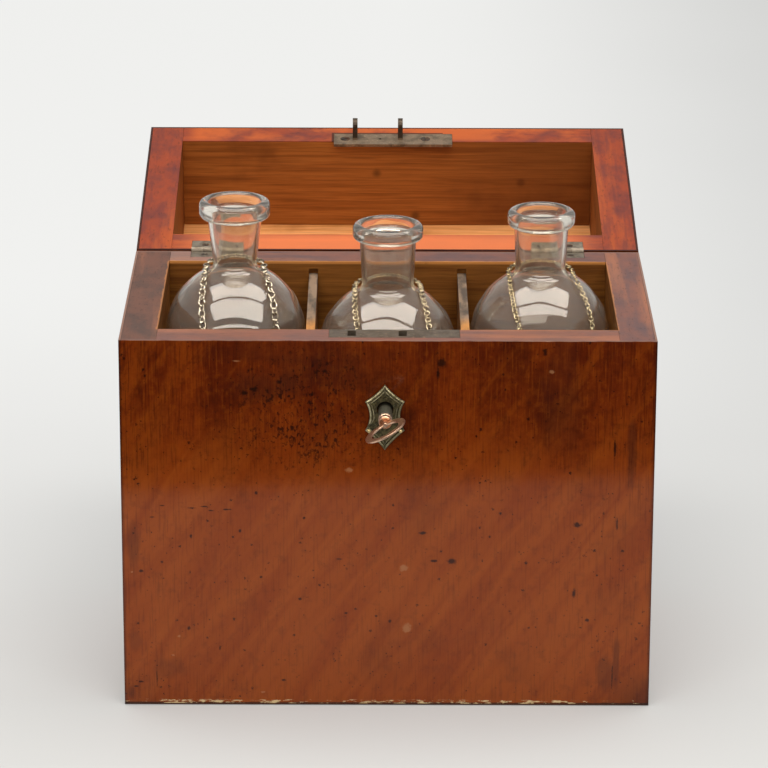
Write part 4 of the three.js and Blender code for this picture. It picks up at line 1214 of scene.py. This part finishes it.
def arc(across, up, radius, start, end, steps):
    """Rows round a part of a circle, with both of its ends."""
    turns = [start + (end - start) * i / steps for i in range(steps + 1)]
    return [(across + radius * cos(turn), up + radius * sin(turn)) for turn in turns]


def straight(start, end):
    """Rows between two points, close together near the ends so that the glass shades evenly."""
    return [(start[0] + t * (end[0] - start[0]), start[1] + t * (end[1] - start[1])) for t in neck_shares]


def bottle_rows(radius, foot, top, shoulder, neck_top, neck_foot, lip, lip_height):
    """The bottle's section, up the outside and down the inside, as (radius, z)."""
    lip_foot = top - lip_height
    neck_end = lip_foot - under_lip_drop
    fillet_out = neck_foot + neck_fillet
    meets = acos(fillet_out / (radius + neck_fillet))
    fillet_z = shoulder + sin(meets) * (radius + neck_fillet)
    inner = radius - glass_wall
    inner_heel = foot + glass_base + heel_radius
    bore_top = neck_top - neck_wall
    bore_foot = neck_foot - neck_wall
    inner_fillet = bore_foot + inner_round
    inner_meets = acos(inner_fillet / (inner + inner_round))
    inner_z = shoulder + sin(inner_meets) * (inner + inner_round)
    rows = [(0, foot + punt_height), (radius - punt_inset, foot)]
    rows += arc(radius - heel_radius, foot + heel_radius, heel_radius, -pi / 2, 0, corner_steps)
    rows += arc(0, shoulder, radius, 0, meets, shoulder_steps)
    rows += arc(fillet_out, fillet_z, neck_fillet, pi + meets, pi, corner_steps)[1:]
    rows += straight((neck_foot, fillet_z), (neck_top, neck_end))
    rows += arc(neck_top + under_lip_round, neck_end, under_lip_round, pi, pi / 2, corner_steps // 2)
    rows += arc(lip - lip_round, lip_foot + lip_round, lip_round, -pi / 2, 0, corner_steps)
    rows += arc(lip - lip_round, top - lip_round, lip_round, 0, pi / 2, corner_steps)
    rows += arc(lip - lip_round, top - lip_inside, lip_inside, pi / 2, pi, corner_steps)[1:]
    rows += straight((lip - lip_wall, top - lip_inside), (bore_top, lip_foot))
    rows += [(bore_top, lip_foot)] + straight((bore_top, lip_foot), (bore_foot, inner_z))
    rows += arc(inner_fillet, inner_z, inner_round, pi, pi + inner_meets, corner_steps)
    rows += arc(0, shoulder, inner, inner_meets, 0, shoulder_steps)[1:]
    rows += [(inner, inner_heel)]
    rows += arc(inner - heel_radius, inner_heel, heel_radius, 0, -pi / 2, corner_steps)[1:]
    return rows + [(0, foot + glass_base + punt_height)]


def blown(centre, radius, rows):
    """The section turned about the bottle's middle. Its ripples sway, differently on each bottle."""
    points = []
    for out, z in rows:
        depth = ripple_height * min(1, max(0, out / radius - ripple_start_share) / ripple_growth_share)
        for i in range(glass_sides):
            angle = 2 * pi * i / glass_sides
            broad = broad_sway * sin(2 * angle + own_turn * (centre.x - radius))
            sway = broad + fine_sway * sin(5 * angle)
            rippled = max(0, out - depth + depth * sin(ripples * z + sway))
            points.append(centre + Vector((rippled * cos(angle), rippled * sin(angle), z)))
    return points, net(len(rows), glass_sides)


glass_material, glass_place = new_finish("clear glass")
glass_seeds = glass_place.noise(26, (1, 1, 0.35), detail=2, seed=101)
clear = glass_place.node("BsdfPrincipled", {
    "Base Color": glass_white, "Roughness": 0.008, "IOR": 1.52, "Transmission Weight": 1.0,
    "Normal": glass_place.node("Bump", {"Height": glass_seeds, "Distance": 0.0012})})
dust = glass_place.node("BsdfDiffuse", {"Color": glass_dust})
dust_share = 0.01 + 0.06 * glass_place.noise(60, seed=102)
dusted = glass_place.node("MixShader", {0: dust_share, 1: clear, 2: dust})
shadow_ray = glass_place.node("LightPath").output("Is Shadow Ray")
end_mixed(glass_place, shadow_ray, dusted, glass_place.node("BsdfTransparent", {"Color": glass_shadow}))

for name, (below_rim, *neck_facts) in bottle_facts.items():
    low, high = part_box(f"bottle_{name}")
    radius = (high.x - low.x) / 2
    centre = Vector(((low.x + high.x) / 2, (low.y + high.y) / 2, 0))
    rows = bottle_rows(radius, low.z, high.z, rim_z - below_rim, *neck_facts)
    bottle = plain_mesh(f"glass_{name}", *blown(centre, radius, rows))
    smooth(bottle)
    bottle.data.materials.append(glass_material)
    fit(bottle, f"{name}_bottle", "glass", f"bottle_{name}")

# A chain hangs round each neck and comes forward over the shoulders to carry a plate. The
# left one has large open links, the middle one shorter links set close, the right one the finest.
chain_facts = {
    # route's height over the glass, plate's turn and width, link pitch, wire, link width, lean, metal
    "left": (0.0014, 0.0054, 0.0468, 0.0034, 0.00092, 0.0043, 27, "#c8bfac"),
    "middle": (0.0013, 0.0069, 0.0412, 0.0020, 0.00062, 0.0037, 28, "#c6b89a"),
    "right": (0.0012, 0.0136, 0.0471, 0.0020, 0.00056, 0.0031, 32, "#ccbd98"),
}
chain_tarnish = tint("#4c3c28")
chain_gap = 0.0004
chain_rise = 0.0022
chain_slack = 0.0023
chain_bow = 0.0023
chain_faces = Vector((0, -0.9, 0.44))
chain_faces_share = 0.8
strand_steps = 60
loop_steps = 40
link_steps = 14
wire_sides = 6
plate_hole_inset = 0.0026
plate_below_shoulder = 0.002


def chain_route(name):
    """The chain's middle line and the way out from the glass, from plate to plate."""
    below_rim, _, neck_foot, *_ = bottle_facts[name]
    height, turn, plate_width, *_ = chain_facts[name]
    low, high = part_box(f"bottle_{name}")
    middle_x = (low.x + high.x) / 2
    radius = (high.x - low.x) / 2
    shoulder = rim_z - below_rim
    reach = radius + chain_gap + height
    loop = neck_foot + chain_gap + height + chain_slack
    start = asin(loop / reach)
    azimuth = asin(turn / reach)
    spread = (plate_width / 2 - plate_hole_inset) / reach

    def strand(side):
        points = []
        end_x = reach * sin(azimuth + side * spread)
        for i in range(1, strand_steps + 1):
            t = i / strand_steps
            from_top = start + (pi / 2 - start) * t
            across = reach * sin(from_top)
            x = side * loop * (1 - t) + end_x * t + side * chain_bow * sin(pi * t)
            points.append(Vector((
                middle_x + x, -sqrt(max(0, across ** 2 - x ** 2)), shoulder + reach * cos(from_top))))
        points.append(Vector((points[-1].x, points[-1].y, shoulder - plate_below_shoulder + chain_gap)))
        return points

    behind = []
    for i in range(loop_steps + 1):
        around = pi * i / loop_steps
        behind.append(Vector((
            middle_x - loop * cos(around),
            loop * sin(around),
            shoulder + reach * cos(start) + chain_rise * sin(around),
        )))
    route = list(reversed(strand(-1))) + behind + strand(1)
    heart = Vector((middle_x, 0, shoulder))
    outwards = []
    for point in route:
        forward = chain_faces_share * min(1, max(0, -point.y / radius))
        outwards.append(((point - heart).normalized() + forward * chain_faces).normalized())
    return route, outwards


def chain_tree(material):
    """Links strung along a line, each leaning the other way from the one before."""
    tree = Repeat("chain links", "Pitch", "Wire Radius", "Link Width", "Lean")
    pitch, wire, width, lean = tree.sizes

    def circle(sides, radius):
        return tree.add("GeometryNodeCurvePrimitiveCircle", {
            "Resolution": sides, "Radius": radius}, mode="RADIUS")

    line = tree.add("GeometryNodeMeshToCurve", {"Mesh": tree.points})
    stations = tree.add("GeometryNodeResampleCurve", {"Curve": line, "Length": pitch}, mode="LENGTH")
    oval_size = tree.vector(
        X=tree.sum("ADD", tree.sum("MULTIPLY", pitch, 0.5), wire),
        Y=tree.sum("SUBTRACT", tree.sum("MULTIPLY", width, 0.5), wire),
        Z=1.0,
    )
    oval = tree.add("GeometryNodeTransform", {"Geometry": circle(link_steps, 1.0), "Scale": oval_size})
    link = tree.add("GeometryNodeCurveToMesh", {"Curve": oval, "Profile Curve": circle(wire_sides, wire)})
    along = tree.add(
        "FunctionNodeAlignRotationToVector", {"Vector": tree.add("GeometryNodeInputTangent")}, axis="X")
    flat = tree.add("FunctionNodeAlignRotationToVector", {
        "Rotation": along, "Vector": tree.carried("outward", "FLOAT_VECTOR")}, axis="Z", pivot_axis="X")
    odd = tree.sum("MODULO", tree.add("GeometryNodeInputIndex"), 2.0)
    either_way = tree.sum("SUBTRACT", tree.sum("MULTIPLY", odd, 2.0), 1.0)
    leaning = tree.turned(flat, X=tree.sum("MULTIPLY", either_way, lean))
    tree.end(stations, link, leaning, material)
    return tree


for name, (_, _, _, pitch, wire, link_width, lean, metal) in chain_facts.items():
    material, place = new_finish(f"{name} chain silver")
    tarnish = place.noise(700, detail=3, seed=105)
    colour = tarnish.rise(0.46, 0.6).between(tint(metal), chain_tarnish)
    coat(place, colour, 0.16 + 0.2 * tarnish, Metallic=1.0)
    route, outwards = chain_route(name)
    edges = [(i, i + 1) for i in range(len(route) - 1)]
    thread = bare_points(f"{name}_thread", route, edges, outward=outwards)
    chain = chain_tree(material).run(f"chain_links_{name}", thread, {
        "Pitch": pitch, "Wire Radius": wire / 2, "Link Width": link_width, "Lean": radians(lean)})
    smooth(chain)
    fit(chain, f"{name}_bottle", "silver", f"chain_{name}")

# Each chain's plate hangs against the front of its bottle, below the rim. They are bare
# silver, curved to the glass, brushed along their length and a little clouded with tarnish.
plate_silver = tint("#d3cbb6")
plate_tarnish = tint("#8a7a5e")

for name in chain_facts:
    material, place = new_finish(f"{name} plate silver")
    brushed = place.noise(900, (0.1, 0.1, 1), detail=3, seed=111)
    dull = place.noise(90, seed=112)
    colour = dull.rise(0.46, 0.7).between(plate_silver, plate_tarnish)
    coat(place, colour, 0.24 + 0.15 * brushed + 0.15 * dull, brushed, relief=0.00002, Metallic=1.0)
    dress(f"plate_{name}", material)
